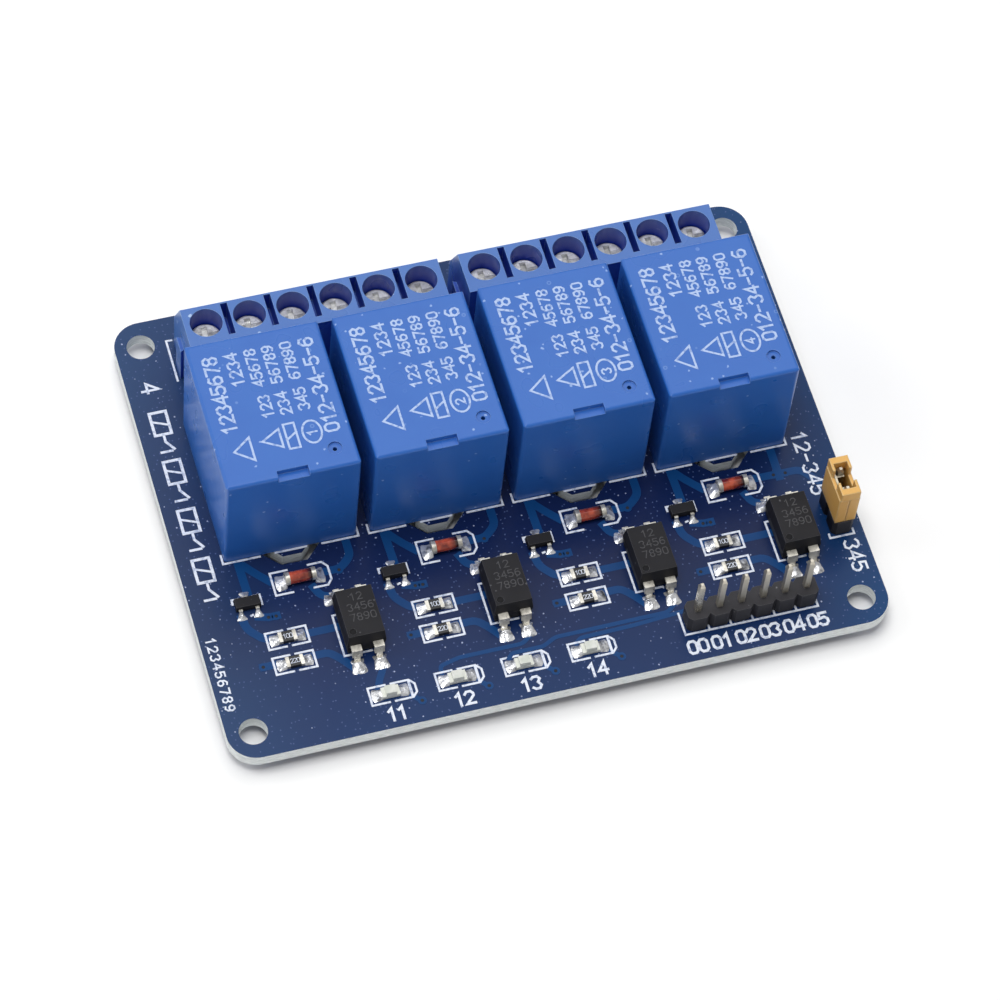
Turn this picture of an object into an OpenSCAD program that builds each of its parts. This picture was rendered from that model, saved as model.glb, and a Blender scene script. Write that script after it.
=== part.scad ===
// Four-channel relay board: a printed circuit board that carries four sugar-cube relays,
// two six-way screw terminal blocks, four input channels and two pin headers.
// Origin: centre of the four mounting holes, on the underside of the board, +Z up.
// The terminal blocks stand along the back edge (+Y) and the input header at the front right.

/* [Board] */
// Board length along X
board_l = 76; // [74:0.5:90]
// Board width along Y
board_w = 57.8; // [56.5:0.1:70]
// Board thickness
board_t = 1.6; // [0.8:0.1:2.4]
// Radius of the board corners
board_corner_r = 3.3; // [1:0.1:5]
// Distance of the mounting holes from the board's ends
hole_inset_x = 3; // [2.6:0.1:3.6]
// Distance of the mounting holes from the board's front and back edges
hole_inset_y = 3.3; // [2.9:0.1:3.8]
// Diameter of the mounting holes
hole_d = 3.2; // [2.6:0.1:3.6]
// Length of the trimmed pin tails below the board
tail_l = 1.6; // [1:0.1:2.5]
// Gap around a pin in its drilled hole
drill_gap = 0.1; // [0.05:0.01:0.2]
// Width of the solder ring around a pin under the board
solder_ring = 0.45; // [0.2:0.05:0.6]
// Height of the solder cone under the board
solder_cone_h = 0.9; // [0.4:0.1:0.9]

/* [Isolation slots] */
// Width of the milled slot around each common pin
slot_w = 1; // [0.6:0.1:1.2]
// Half width of the slot's outline across X
slot_half = 3.25; // [3:0.05:3.6]
// How far the slot reaches in front of the relay
slot_reach = 1.8; // [1.2:0.1:2]
// Size of the slot's chamfered corners
slot_chamfer = 1.75; // [1:0.05:2]
// How far the slot's legs run back under the relay
slot_leg = 5; // [3:0.1:8]

/* [Relays] */
// Gap between neighbouring relays
relay_gap = 1.6; // [1:0.1:2]
// Width of a relay along X
relay_w = 15.2; // [15:0.1:15.8]
// Length of a relay along Y
relay_l = 19; // [18.8:0.1:20]
// Height of a relay above the board
relay_h = 15.5; // [15.2:0.1:17]
// Y of the relays' front faces
relay_front_y = -4.25; // [-4.5:0.05:-3.8]
// Wall of the relay cover
cover_wall = 0.8; // [0.5:0.05:0.85]
// Top of the relay cover
cover_top_t = 0.9; // [0.6:0.05:1]
// Rounding of the cover's edges
cover_edge_r = 0.4; // [0.2:0.05:0.7]
// Width of the pry notch in the cover's front top edge
notch_w = 3.5; // [2:0.1:5]
// How far the pry notch cuts into the top
notch_y = 1; // [0.5:0.05:1.2]
// How far the pry notch cuts down the front
notch_z = 0.7; // [0.4:0.05:0.8]
// Diameter of the vent's shallow dish
vent_dish_d = 1.6; // [1:0.1:2]
// Diameter of the vent hole
vent_d = 0.5; // [0.3:0.05:0.8]
// Distance of the vent from the cover's front and right faces
vent_inset = 1.6; // [1.2:0.1:3]
// Thickness of the relay's base plate
base_t = 1.5; // [1:0.1:1.6]
// Gap between the base plate and the board
base_lift = 0.3; // [0.1:0.05:0.4]
// Gap between the base plate and the cover
base_gap = 0.05; // [0.02:0.01:0.15]
// Diameter of the relay pins
relay_pin_d = 1; // [0.6:0.05:1.1]
// Distance of the outer pins from the relay's sides
pin_inset = 1.6; // [1.5:0.05:2]
// Distance of the common pin from the relay's front
com_y = 2.3; // [2:0.05:2.4]
// Distance of the coil pins behind the common pin
coil_pin_y = 2; // [1.8:0.05:2.4]
// Distance of the contact pins from the relay's back
contact_inset = 2.5; // [2.3:0.05:2.7]

/* [Relay motor] */
// Thickness of the yoke
yoke_t = 1.2; // [0.8:0.05:1.3]
// Width of the yoke
yoke_w = 8; // [6:0.1:9]
// Distance of the yoke's leg from the relay's front
yoke_y = 1.4; // [1.3:0.05:1.5]
// Diameter of the core
core_d = 4; // [3:0.1:4.2]
// Gap between the bobbin and the yoke's leg
bobbin_gap = 0.1; // [0.05:0.05:0.4]
// Diameter of the pole face
pole_d = 6.4; // [5:0.1:7]
// Thickness of the pole face
pole_t = 0.8; // [0.5:0.05:1]
// Wall of the bobbin's tube
bobbin_wall = 0.6; // [0.4:0.05:0.8]
// Thickness of the bobbin's flanges
flange_t = 0.7; // [0.5:0.05:0.9]
// Height of the winding between the flanges
winding_h = 5.8; // [5:0.1:6]
// Diameter of the winding
winding_d = 9.8; // [8:0.1:10]
// How far the flanges stand out past the winding
flange_lip = 0.3; // [0.1:0.05:0.35]
// Thickness of the armature plate
armature_t = 1; // [0.6:0.05:1.1]
// Angle of the released armature
armature_lift = 3; // [2:0.1:3.5]
// Thickness of the contact spring
leaf_t = 0.25; // [0.15:0.05:0.3]
// Width of the contact spring
leaf_w = 4; // [2:0.1:5]
// Diameter of the contacts
contact_d = 2.2; // [1.6:0.1:2.4]
// Height of a contact button on its strip
contact_h = 0.35; // [0.2:0.05:0.4]
// Gap left between closed contacts, and under the closed armature
contact_gap = 0.05; // [0.02:0.01:0.08]
// Thickness of the fixed contact strips
strip_t = 0.4; // [0.3:0.05:0.45]

/* [Terminal blocks] */
// Distance between neighbouring ways
way_pitch = 5; // [4.95:0.05:5.1]
// Gap between the two blocks
block_gap = 2.4; // [1.6:0.1:3]
// Height of a block above the board
block_h = 10.2; // [9.9:0.1:12]
// Depth of a block along Y
block_d = 7.6; // [7.4:0.1:8]
// Depth of a block's flat top
block_top_d = 5.3; // [5.1:0.1:6]
// Y of the blocks' back faces, where the wires go in
block_back_y = 25.2; // [25:0.1:26]
// Height at which the back face starts to lean in
shoulder_z = 5.6; // [5.5:0.1:6.5]
// Diameter of the screw wells
well_d = 3.7; // [3.6:0.05:3.8]
// Distance of the wells from the block's front face
well_y = 3; // [2.9:0.05:3.1]
// Width of the slots between the wells
web_slot_w = 0.8; // [0.4:0.05:0.9]
// Length of the slots between the wells
web_slot_l = 4.2; // [3:0.1:4.4]
// Depth of the slots between the wells
web_slot_z = 3; // [1:0.1:3.2]
// Width of a wire mouth
mouth_w = 3.6; // [3:0.1:3.8]
// Height of a wire mouth
mouth_h = 3.6; // [3:0.1:3.7]
// Width of the sunk border around a wire mouth
mouth_border = 0.4; // [0.2:0.05:0.45]
// Depth of the sunk border around a wire mouth
mouth_border_y = 0.4; // [0.2:0.05:0.8]
// Depth of the dovetail on a block's left end
dovetail_x = 0.45; // [0.2:0.05:0.45]
// Width of the dovetail at its root
dovetail_w = 1.6; // [1:0.1:2]

/* [Terminal clamps] */
// Height of the clamp frame's underside above the board
frame_z = 0.8; // [0.5:0.05:1]
// Length of the clamp frame along Y
frame_l = 4.6; // [4:0.1:4.8]
// Side wall of the clamp frame
frame_wall = 0.5; // [0.4:0.05:0.6]
// Floor of the clamp frame
frame_floor = 0.8; // [0.6:0.05:0.9]
// Threaded top wall of the clamp frame
frame_top = 1.1; // [0.8:0.05:1.2]
// Gap between the clamp frame and the housing
frame_gap = 0.05; // [0.02:0.01:0.1]
// Wall of the housing between two clamp frames
chamber_wall = 1; // [0.9:0.05:1.1]
// Diameter of the terminal pins
terminal_pin_d = 1; // [0.8:0.05:1.2]
// Diameter of the terminal screws
screw_d = 2.6; // [2:0.1:2.7]
// Running gap of a screw in its thread, and of the pressure plate
run_gap = 0.05; // [0.02:0.01:0.08]
// Diameter of the screw heads
head_d = 3.4; // [3:0.05:3.5]
// Height of the screw heads
head_t = 1.35; // [1:0.05:1.4]
// Width of the driver slots in the screw heads
driver_w = 0.7; // [0.4:0.05:0.9]
// Depth of the driver slots
driver_z = 0.7; // [0.4:0.05:0.8]
// Lift of the pressure plate when the screw is undone
clamp_travel = 2; // [1.6:0.05:2]
// Free height left above the lifted pressure plate
window_spare = 0.5; // [0.3:0.05:0.6]
// Thickness of the pressure plate
plate_t = 0.4; // [0.3:0.05:0.45]
// Rise of the pressure plate's turned-up lip
lip_rise = 0.5; // [0.3:0.05:0.6]

/* [Input channels] */
// Board length at the ends that no input channel uses
channel_margin = 4.4; // [4:0.1:5]
// Y of the diodes
diode_y = -8.35; // [-8.5:0.05:-8.2]
// Length of a diode over its caps
diode_l = 3.5; // [3.2:0.1:3.8]
// Diameter of a diode's caps
diode_d = 1.5; // [1.2:0.05:1.6]
// Length of a diode's caps
diode_cap = 0.5; // [0.3:0.05:0.7]
// Y of the transistors
transistor_y = -10.2; // [-10.4:0.05:-10]
// Distance of a transistor left of its channel's middle
transistor_dx = 6.5; // [6.3:0.05:6.8]
// Y of the upper row of resistors
resistor_y = -15.2; // [-15.4:0.05:-15]
// Distance between the two rows of resistors
resistor_row = 3.2; // [3:0.05:3.4]
// Distance of the resistors left of the channel's middle
resistor_dx = 3.25; // [3:0.05:3.5]
// Length of a chip resistor or lamp
chip_l = 2; // [1.8:0.05:2.2]
// Width of a chip resistor or lamp
chip_w = 1.25; // [1:0.05:1.4]
// Thickness of a chip resistor
chip_t = 0.5; // [0.4:0.05:0.6]
// Length of a chip's end caps
chip_cap = 0.4; // [0.2:0.05:0.5]
// Distance of an optocoupler right of its channel's middle
opto_dx = 4.7; // [4.6:0.05:4.9]
// Y of the optocouplers
opto_y = -15.75; // [-15.9:0.05:-15.5]
// Width of an optocoupler along X
opto_w = 4.5; // [4.2:0.05:4.6]
// Length of an optocoupler along Y
opto_l = 6.4; // [6:0.05:6.5]
// Height of an optocoupler's body
opto_h = 3.4; // [3:0.05:3.6]
// Draft of the moulded bodies, as a slope
mould_draft = 0.12; // [0.05:0.01:0.15]
// Y of the row of lamps
lamp_y = -24.6; // [-24.8:0.05:-24.4]
// Distance between neighbouring lamps
lamp_pitch = 7.62; // [7:0.01:7.8]
// X of the first lamp
lamp_x = -19.3; // [-20:0.05:-19]

/* [Headers] */
// Distance between header pins
header_pitch = 2.54; // [2.54:0.01:2.6]
// Height of a header's insulator
header_h = 2.54; // [2:0.01:3]
// Width of a header's insulator
header_w = 2.5; // [2.3:0.05:2.6]
// Side of a square header pin
pin_side = 0.64; // [0.5:0.01:0.7]
// Height of the pin tips above the board
pin_top = 8; // [7.6:0.1:8.2]
// Distance of the input header's middle from the board's right end
header_inset = 15.7; // [15:0.1:16.5]
// Y of the input header
header_y = -24; // [-24.5:0.1:-23.6]
// Distance of the jumper header from the board's right end
jumper_inset = 2.5; // [2.2:0.1:3]
// Y of the jumper header's middle
jumper_y = -14.7; // [-15.2:0.1:-14.2]

/* [Jumper cap] */
// Width of the jumper cap along X
cap_w = 2.4; // [2.2:0.05:2.5]
// Length of the jumper cap along Y
cap_l = 5; // [4.9:0.05:5.2]
// Height of the jumper cap
cap_h = 6; // [5.8:0.1:6.5]
// Side wall of the jumper cap
cap_wall = 0.4; // [0.3:0.05:0.45]
// Height of the cap's lower body, under the raised rims
cap_body_h = 4.6; // [4:0.1:5]
// Length of each raised rim
rim_l = 1.7; // [1.2:0.05:1.9]
// How far the open mouth cuts into each rim
rim_cut = 0.9; // [0.85:0.05:1.1]
// Step between the rims and the body
rim_step = 0.1; // [0.05:0.05:0.15]
// Width of the seam down each end of the cap
seam_w = 0.12; // [0.1:0.02:0.2]
// Depth of the seam
seam_y = 0.08; // [0.05:0.01:0.12]
// Thickness of the spring clip
clip_t = 0.25; // [0.15:0.05:0.3]

/* [Hidden] */
$fn = 48;

channels = 4;
ways = 6;
eps = 0.01;
input_pins = 6;
jumper_pins = 2;

// Places tied to the board's ends and to the relays' sides
hole_span_x = board_l - 2 * hole_inset_x;
hole_span_y = board_w - 2 * hole_inset_y;
relay_pitch = relay_w + relay_gap;
channel_pitch = (board_l - 2 * channel_margin) / channels;
header_x = board_l / 2 - header_inset;
jumper_x = board_l / 2 - jumper_inset;
pin_x = relay_w / 2 - pin_inset;

// Relay levels, measured up from the board's top face
base_top = base_lift + base_t;
yoke_floor = base_top + yoke_t;
flange_top = yoke_floor + 2 * flange_t + winding_h;
pole_z = flange_top + pole_t;
flange_r = winding_d / 2 + flange_lip;
core_pos = yoke_y + yoke_t + bobbin_gap + flange_r;
armature_z = pole_z + contact_gap;
leaf_z = armature_z + armature_t;
contact_pos = relay_l - contact_inset;
contact_rise = (contact_pos - yoke_y) * tan(armature_lift);
post_w = 2;
post_inset = 0.4;
tail_gap = 0.25;
spring_tail = 3;
spring_end = 1.2;

// Terminal levels, measured up from the board's top face
window_h = clamp_travel + lip_rise + plate_t + window_spare;
window_z = frame_z + frame_floor;
frame_top_z = window_z + window_h + frame_top;
chamber_top = frame_top_z + frame_gap;
frame_w = way_pitch - chamber_wall - 2 * frame_gap;
window_w = frame_w - 2 * frame_wall;
plate_z = window_z + run_gap;
tip_z = plate_z + plate_t + run_gap;
head_z = frame_top_z + 2 * run_gap;
block_front_y = block_back_y - block_d;
row_y = block_front_y + well_y;
block_l = ways * way_pitch;

relay_rows = [for (i = [0:channels - 1]) (i - (channels - 1) / 2) * relay_pitch];
channel_rows = [for (i = [0:channels - 1]) (i - (channels - 1) / 2) * channel_pitch];
way_rows = [
    for (side = [-1, 1])
        for (i = [0:ways - 1])
            side * (block_gap + block_l) / 2 + (i - (ways - 1) / 2) * way_pitch
];
input_rows = [
    for (i = [0:input_pins - 1])
        [header_x + (i - (input_pins - 1) / 2) * header_pitch, header_y]
];
jumper_rows = [
    for (i = [0:jumper_pins - 1])
        [jumper_x, jumper_y + (i - (jumper_pins - 1) / 2) * header_pitch]
];
header_rows = concat(input_rows, jumper_rows);
lamp_rows = [for (i = [0:channels - 1]) [lamp_x + i * lamp_pitch, lamp_y]];
resistor_rows = [
    for (x = channel_rows)
        for (row = [0, 1])
            [x - resistor_dx, resistor_y - row * resistor_row]
];
relay_pins = [
    [0, com_y],
    [-pin_x, com_y + coil_pin_y],
    [pin_x, com_y + coil_pin_y],
    [-pin_x, contact_pos],
    [pin_x, contact_pos]
];
opto_pitch = 2.54;
opto_lead_w = 0.7;
opto_shoulder_w = 1.15;
opto_lead_t = 0.25;
opto_foot = 1.9;
opto_lift = 0.15;
opto_lead_z = opto_lift + opto_h / 2;
transistor_size = [2.9, 1.3, 0.95];
transistor_lift = 0.1;
transistor_lead_w = 0.42;
transistor_lead_t = 0.15;
transistor_foot = 0.6;
transistor_pitch = 0.95;
fillet_l = 0.55;
fillet_z = 0.35;
drill_header_d = pin_side * sqrt(2) + 2 * drill_gap;
header_chamfer = 0.45;
cavity_w = cap_w - 2 * cap_wall;
cavity_l = cap_l - 2 * cap_wall;
clip_gap = 0.03;

// ---- shared shapes ----

// Rounded rectangle centred on the origin
module rounded_rect(size_x, size_y, r) {
    square([size_x - 2 * r, size_y], center = true);
    square([size_x, size_y - 2 * r], center = true);
    for (x = [-1, 1])
        for (y = [-1, 1])
            translate([x * (size_x / 2 - r), y * (size_y / 2 - r)])
                circle(r);
}

// Upright profile, centred across, whose two upper corners are rounded
module arch_profile(w, h, r) {
    translate([-w / 2, 0])
        square([w, h - r]);
    translate([-w / 2 + r, 0])
        square([w - 2 * r, h]);
    for (x = [-1, 1])
        translate([x * (w / 2 - r), h - r])
            circle(r);
}

// Extrudes an X-Z profile along Y, centred on y = 0
module along_y(l) {
    rotate([90, 0, 0])
        linear_extrude(l, center = true)
            children();
}

// Extrudes a Y-Z profile along X, centred on x = 0
module along_x(l) {
    rotate([90, 0, 90])
        linear_extrude(l, center = true)
            children();
}

// Moulded body with drafted sides above and below its parting line, standing on z = 0
module moulded_body(w, l, h) {
    drop = mould_draft * h / 2;
    intersection() {
        along_y(l + eps)
            parted_profile(w, h, drop);
        along_x(w + eps)
            parted_profile(l, h, drop);
    }
}

module parted_profile(w, h, drop) {
    polygon([
        [-w / 2 + drop, 0],
        [w / 2 - drop, 0],
        [w / 2, h / 2],
        [w / 2 - drop, h],
        [-w / 2 + drop, h],
        [-w / 2, h / 2]
    ]);
}

// Outline of an isolation slot: a U with chamfered corners, open towards +Y
module slot_outline(half, front, chamfer) {
    polygon([
        [-half, slot_leg],
        [-half, front + chamfer],
        [-half + chamfer, front],
        [half - chamfer, front],
        [half, front + chamfer],
        [half, slot_leg]
    ]);
}

// Solder cone under the board around a pin of width d, with its bore left to the caller
module solder_cone(d) {
    translate([0, 0, -solder_cone_h])
        cylinder(h = solder_cone_h, d1 = d + solder_ring, d2 = d + 2 * solder_ring + 2 * drill_gap);
}

// Wedge of solder against an end face at x = 0, running out along +X
module end_fillet(w) {
    along_y(w)
        polygon([[0, 0], [fillet_l, 0], [fillet_l * 0.35, fillet_z * 0.35], [0, fillet_z]]);
}

module at_relays() {
    for (x = relay_rows)
        translate([x, relay_front_y, board_t])
            children();
}

module at_ways() {
    for (x = way_rows)
        translate([x, row_y, board_t])
            children();
}

// ---- board ----

module pcb() {
    color("midnightblue")
        difference() {
            linear_extrude(board_t)
                rounded_rect(board_l, board_w, board_corner_r);
            mounting_holes();
            isolation_slots();
            drilled_holes();
        }
}

module mounting_holes() {
    for (x = [-1, 1])
        for (y = [-1, 1])
            translate([x * hole_span_x / 2, y * hole_span_y / 2, -eps])
                cylinder(h = board_t + 2 * eps, d = hole_d);
}

module isolation_slots() {
    inner_chamfer = slot_chamfer - slot_w * (2 - sqrt(2));
    for (x = relay_rows)
        translate([x, relay_front_y, -eps])
            linear_extrude(board_t + 2 * eps)
                difference() {
                    slot_outline(slot_half, -slot_reach, slot_chamfer);
                    slot_outline(slot_half - slot_w, slot_w - slot_reach, inner_chamfer);
                }
}

module drilled_holes() {
    for (x = relay_rows)
        for (p = relay_pins)
            translate([x + p[0], relay_front_y + p[1], -eps])
                cylinder(h = board_t + 2 * eps, d = relay_pin_d + 2 * drill_gap);
    for (x = way_rows)
        translate([x, row_y, -eps])
            cylinder(h = board_t + 2 * eps, d = terminal_pin_d + 2 * drill_gap);
    for (p = header_rows)
        translate([p[0], p[1], -eps])
            cylinder(h = board_t + 2 * eps, d = drill_header_d);
}

module through_hole_solder() {
    color("silver") {
        for (x = relay_rows)
            for (p = relay_pins)
                translate([x + p[0], relay_front_y + p[1], 0])
                    bored_cone(relay_pin_d);
        for (x = way_rows)
            translate([x, row_y, 0])
                bored_cone(terminal_pin_d);
        for (p = header_rows)
            translate([p[0], p[1], 0])
                difference() {
                    solder_cone(pin_side * sqrt(2));
                    cube([pin_side, pin_side, 4 * solder_cone_h], center = true);
                }
    }
}

module bored_cone(d) {
    difference() {
        solder_cone(d);
        cylinder(h = 4 * solder_cone_h, d = d, center = true);
    }
}

// ---- terminal blocks ----

// One six-way housing, centred on x = 0, with its front face on y = 0
module terminal_housing() {
    color("royalblue")
        difference() {
            union() {
                along_x(block_l)
                    polygon([
                        [0, 0],
                        [block_d, 0],
                        [block_d, shoulder_z],
                        [block_top_d, block_h],
                        [0, block_h]
                    ]);
                dovetail(-block_l / 2);
            }
            dovetail(block_l / 2);
            for (i = [0:ways - 1])
                translate([(i - (ways - 1) / 2) * way_pitch, well_y, 0])
                    way_cavity();
            for (i = [1:ways - 1])
                translate([(i - ways / 2) * way_pitch, well_y, block_h])
                    cube([web_slot_w, web_slot_l, 2 * web_slot_z], center = true);
        }
}

// Upright dovetail that hangs off the block's left end, and its groove in the right end
module dovetail(x) {
    flare = dovetail_x / 2;
    translate([x, block_d / 2, 0])
        linear_extrude(shoulder_z)
            polygon([
                [eps, -dovetail_w / 2],
                [eps, dovetail_w / 2],
                [-dovetail_x, dovetail_w / 2 + flare],
                [-dovetail_x, -dovetail_w / 2 - flare]
            ]);
}

// Everything cut out of the housing for one way
module way_cavity() {
    chamber_w = frame_w + 2 * frame_gap;
    chamber_l = frame_l + 2 * frame_gap;
    mouth_y = block_d - well_y;
    border_w = min(mouth_w + 2 * mouth_border, way_pitch - 2 * mouth_border);
    cylinder(h = block_h + eps, d = well_d);
    translate([0, 0, chamber_top / 2 - eps])
        cube([chamber_w, chamber_l, chamber_top], center = true);
    translate([0, mouth_y, window_z + mouth_h / 2]) {
        cube([mouth_w, 2 * mouth_y, mouth_h], center = true);
        cube([border_w, 2 * mouth_border_y, mouth_h + mouth_border], center = true);
    }
}

module terminal_block(side) {
    translate([side * (block_gap + block_l) / 2, block_front_y, board_t])
        terminal_housing();
}

// Twelve fixed clamp frames, each a square tube with a threaded top and a solder pin
module clamp_frames() {
    color("silver")
        at_ways() {
            difference() {
                translate([0, 0, (frame_z + frame_top_z) / 2])
                    cube([frame_w, frame_l, frame_top_z - frame_z], center = true);
                translate([0, 0, window_z + window_h / 2])
                    cube([window_w, frame_l + eps, window_h], center = true);
                translate([0, 0, window_z + window_h / 2])
                    cylinder(h = frame_top + window_h, d = screw_d + 2 * run_gap);
            }
            translate([0, 0, -board_t - tail_l])
                cylinder(h = frame_z + board_t + tail_l, d = terminal_pin_d);
        }
}

module terminal_screw(i) {
    chamfer = 0.25;
    color("gainsboro")
        translate([way_rows[i], row_y, board_t])
            difference() {
                rotate_extrude()
                    polygon([
                        [0, tip_z],
                        [screw_d / 2 - chamfer, tip_z],
                        [screw_d / 2, tip_z + chamfer],
                        [screw_d / 2, head_z],
                        [head_d / 2, head_z],
                        [head_d / 2, head_z + head_t - chamfer],
                        [head_d / 2 - chamfer, head_z + head_t],
                        [0, head_z + head_t]
                    ]);
                translate([0, 0, head_z + head_t]) {
                    cube([head_d + eps, driver_w, 2 * driver_z], center = true);
                    cube([driver_w, head_d * 0.7, 2 * driver_z], center = true);
                }
            }
}

// Plate under the screw's tip that presses on the wire, with a lip turned up at the wire side
module pressure_plate(i) {
    reach = frame_l / 2 - 2 * run_gap;
    lip_y = reach - lip_rise;
    color("silver")
        translate([way_rows[i], row_y, board_t + plate_z])
            along_x(window_w - 2 * run_gap)
                polygon([
                    [-reach, 0],
                    [lip_y, 0],
                    [reach, lip_rise],
                    [reach, lip_rise + plate_t],
                    [lip_y, plate_t],
                    [-reach, plate_t]
                ]);
}

// ---- relays ----

module relay_cover(i) {
    color("royalblue")
        translate([relay_rows[i], relay_front_y, board_t])
            difference() {
                cover_outside();
                translate([-relay_w / 2 + cover_wall, cover_wall, -eps])
                    cube([relay_w - 2 * cover_wall, relay_l - 2 * cover_wall, relay_h - cover_top_t]);
                translate([0, 0, relay_h])
                    cube([notch_w, 2 * notch_y, 2 * notch_z], center = true);
                translate([relay_w / 2 - vent_inset - cover_wall, vent_inset + cover_wall, relay_h]) {
                    cylinder(h = cover_top_t * 0.6, d = vent_dish_d, center = true);
                    cylinder(h = 3 * cover_top_t, d = vent_d, center = true);
                }
            }
}

module cover_outside() {
    intersection() {
        translate([0, relay_l / 2, 0])
            linear_extrude(relay_h)
                rounded_rect(relay_w, relay_l, cover_edge_r);
        translate([0, relay_l / 2, 0])
            along_y(relay_l + eps)
                arch_profile(relay_w, relay_h, cover_edge_r);
        translate([0, relay_l / 2, 0])
            along_x(relay_w + eps)
                arch_profile(relay_l, relay_h, cover_edge_r);
    }
}

module relay_bases() {
    inside = cover_wall + base_gap;
    color("darkslateblue")
        at_relays()
            difference() {
                translate([-relay_w / 2 + inside, inside, base_lift])
                    cube([relay_w - 2 * inside, relay_l - 2 * inside, base_t]);
                for (p = relay_pins)
                    translate([p[0], p[1], 0])
                        cylinder(h = base_top + eps, d = relay_pin_d + 2 * drill_gap);
            }
}

// L-shaped yoke with its core and pole face
module relay_yokes() {
    color("silver")
        at_relays() {
            along_x(yoke_w)
                polygon([
                    [yoke_y, base_top],
                    [core_pos + core_d / 2, base_top],
                    [core_pos + core_d / 2, yoke_floor],
                    [yoke_y + yoke_t, yoke_floor],
                    [yoke_y + yoke_t, pole_z],
                    [yoke_y, pole_z]
                ]);
            translate([0, core_pos, yoke_floor - eps])
                cylinder(h = flange_top - yoke_floor + 2 * eps, d = core_d);
            translate([0, core_pos, flange_top])
                cylinder(h = pole_t, d = pole_d);
        }
}

module relay_bobbins() {
    tube_r = core_d / 2 + base_gap;
    foot_w = 2 * pin_x + relay_pin_d + 2 * drill_gap;
    foot_front = com_y + coil_pin_y - relay_pin_d;
    color("black")
        at_relays()
            difference() {
                union() {
                    translate([-foot_w / 2, foot_front, yoke_floor])
                        cube([foot_w, core_pos + flange_r - foot_front, flange_t]);
                    translate([0, core_pos, yoke_floor])
                        cylinder(h = flange_top - yoke_floor, r = tube_r + bobbin_wall);
                    translate([0, core_pos, flange_top - flange_t])
                        cylinder(h = flange_t, r = flange_r);
                }
                translate([0, core_pos, 0])
                    cylinder(h = relay_h, r = tube_r);
                for (x = [-1, 1])
                    translate([x * pin_x, com_y + coil_pin_y, 0])
                        cylinder(h = relay_h, d = relay_pin_d);
            }
}

module relay_windings() {
    color("peru")
        at_relays()
            translate([0, core_pos, yoke_floor + flange_t])
                difference() {
                    cylinder(h = winding_h, d = winding_d);
                    translate([0, 0, -eps])
                        cylinder(h = winding_h + 2 * eps, r = core_d / 2 + base_gap + bobbin_wall);
                }
}

// Solder pins with the two fixed contacts: the right one below the spring, the left one above
module relay_contacts() {
    coil_top = yoke_floor + flange_t + post_inset;
    lower_z = leaf_z - contact_h - contact_gap;
    upper_z = leaf_z + leaf_t + contact_h + contact_rise + contact_gap;
    color("gold")
        at_relays() {
            relay_pin(relay_pins[0], base_top);
            relay_pin(relay_pins[1], coil_top);
            relay_pin(relay_pins[2], coil_top);
            relay_pin(relay_pins[3], base_top);
            relay_pin(relay_pins[4], base_top);
            fixed_contact(1, lower_z - contact_h - strip_t, lower_z - contact_h);
            fixed_contact(-1, upper_z + contact_h, upper_z);
        }
}

module relay_pin(p, top) {
    translate([p[0], p[1], -board_t - tail_l])
        cylinder(h = top + board_t + tail_l, d = relay_pin_d);
}

// Post on one contact pin, with a strip that carries a contact button to the middle
module fixed_contact(side, strip_z, button_z) {
    reach = pin_x + post_inset;
    strip_l = reach + contact_d / 2;
    mirror([side < 0 ? 1 : 0, 0, 0]) {
        translate([reach - strip_t, contact_pos - post_w / 2, base_top])
            cube([strip_t, post_w, strip_z + strip_t - base_top]);
        translate([reach - strip_l, contact_pos - post_w / 2, strip_z])
            cube([strip_l, post_w, strip_t]);
        translate([pin_x - relay_pin_d / 2, contact_pos - post_w / 2, base_top])
            cube([reach - pin_x + relay_pin_d / 2, post_w, strip_t]);
    }
    translate([0, contact_pos, button_z])
        cylinder(h = contact_h + eps, d = contact_d);
}

// Moving armature, drawn closed and then lifted to its released angle
module relay_armature(i) {
    spring_front = yoke_y - tail_gap - leaf_t;
    color("silver")
        translate([relay_rows[i], relay_front_y + yoke_y, board_t + armature_z])
            rotate([armature_lift, 0, 0])
                translate([0, -yoke_y, -armature_z]) {
                    translate([-yoke_w / 2, yoke_y, armature_z])
                        cube([yoke_w, core_pos + pole_d / 2 - yoke_y, armature_t]);
                    translate([-leaf_w / 2, spring_front, leaf_z])
                        cube([leaf_w, contact_pos + spring_end - spring_front, leaf_t]);
                    translate([-leaf_w / 2, spring_front, armature_z - spring_tail])
                        cube([leaf_w, leaf_t, spring_tail + armature_t + eps]);
                    translate([0, contact_pos, leaf_z - contact_h])
                        cylinder(h = leaf_t + 2 * contact_h, d = contact_d);
                }
}

// ---- input channels ----

module optocouplers() {
    dimple_d = 0.8;
    dimple_inset = 0.85;
    color("black")
        for (x = channel_rows)
            translate([x + opto_dx, opto_y, board_t + opto_lift])
                difference() {
                    moulded_body(opto_w, opto_l, opto_h);
                    translate([-opto_w / 2 + dimple_inset, -opto_l / 2 + dimple_inset, opto_h])
                        cylinder(h = 0.2, d = dimple_d, center = true);
                }
}

module optocoupler_leads() {
    color("silver")
        for (x = channel_rows)
            for (side = [0, 180])
                translate([x + opto_dx, opto_y, board_t])
                    rotate([0, 0, side])
                        for (p = [-1, 1])
                            translate([p * opto_pitch / 2, opto_l / 2, 0])
                                opto_lead();
}

// Gull-wing lead, narrow at the foot and with a wide shoulder next to the body
module opto_lead() {
    shoulder_z = opto_lead_z * 0.5;
    along_x(opto_lead_w)
        gull_wing(opto_lead_z, opto_lead_t, opto_foot);
    along_x(opto_shoulder_w)
        intersection() {
            gull_wing(opto_lead_z, opto_lead_t, opto_foot);
            translate([0, shoulder_z])
                square([opto_foot, opto_lead_z]);
        }
}

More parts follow.
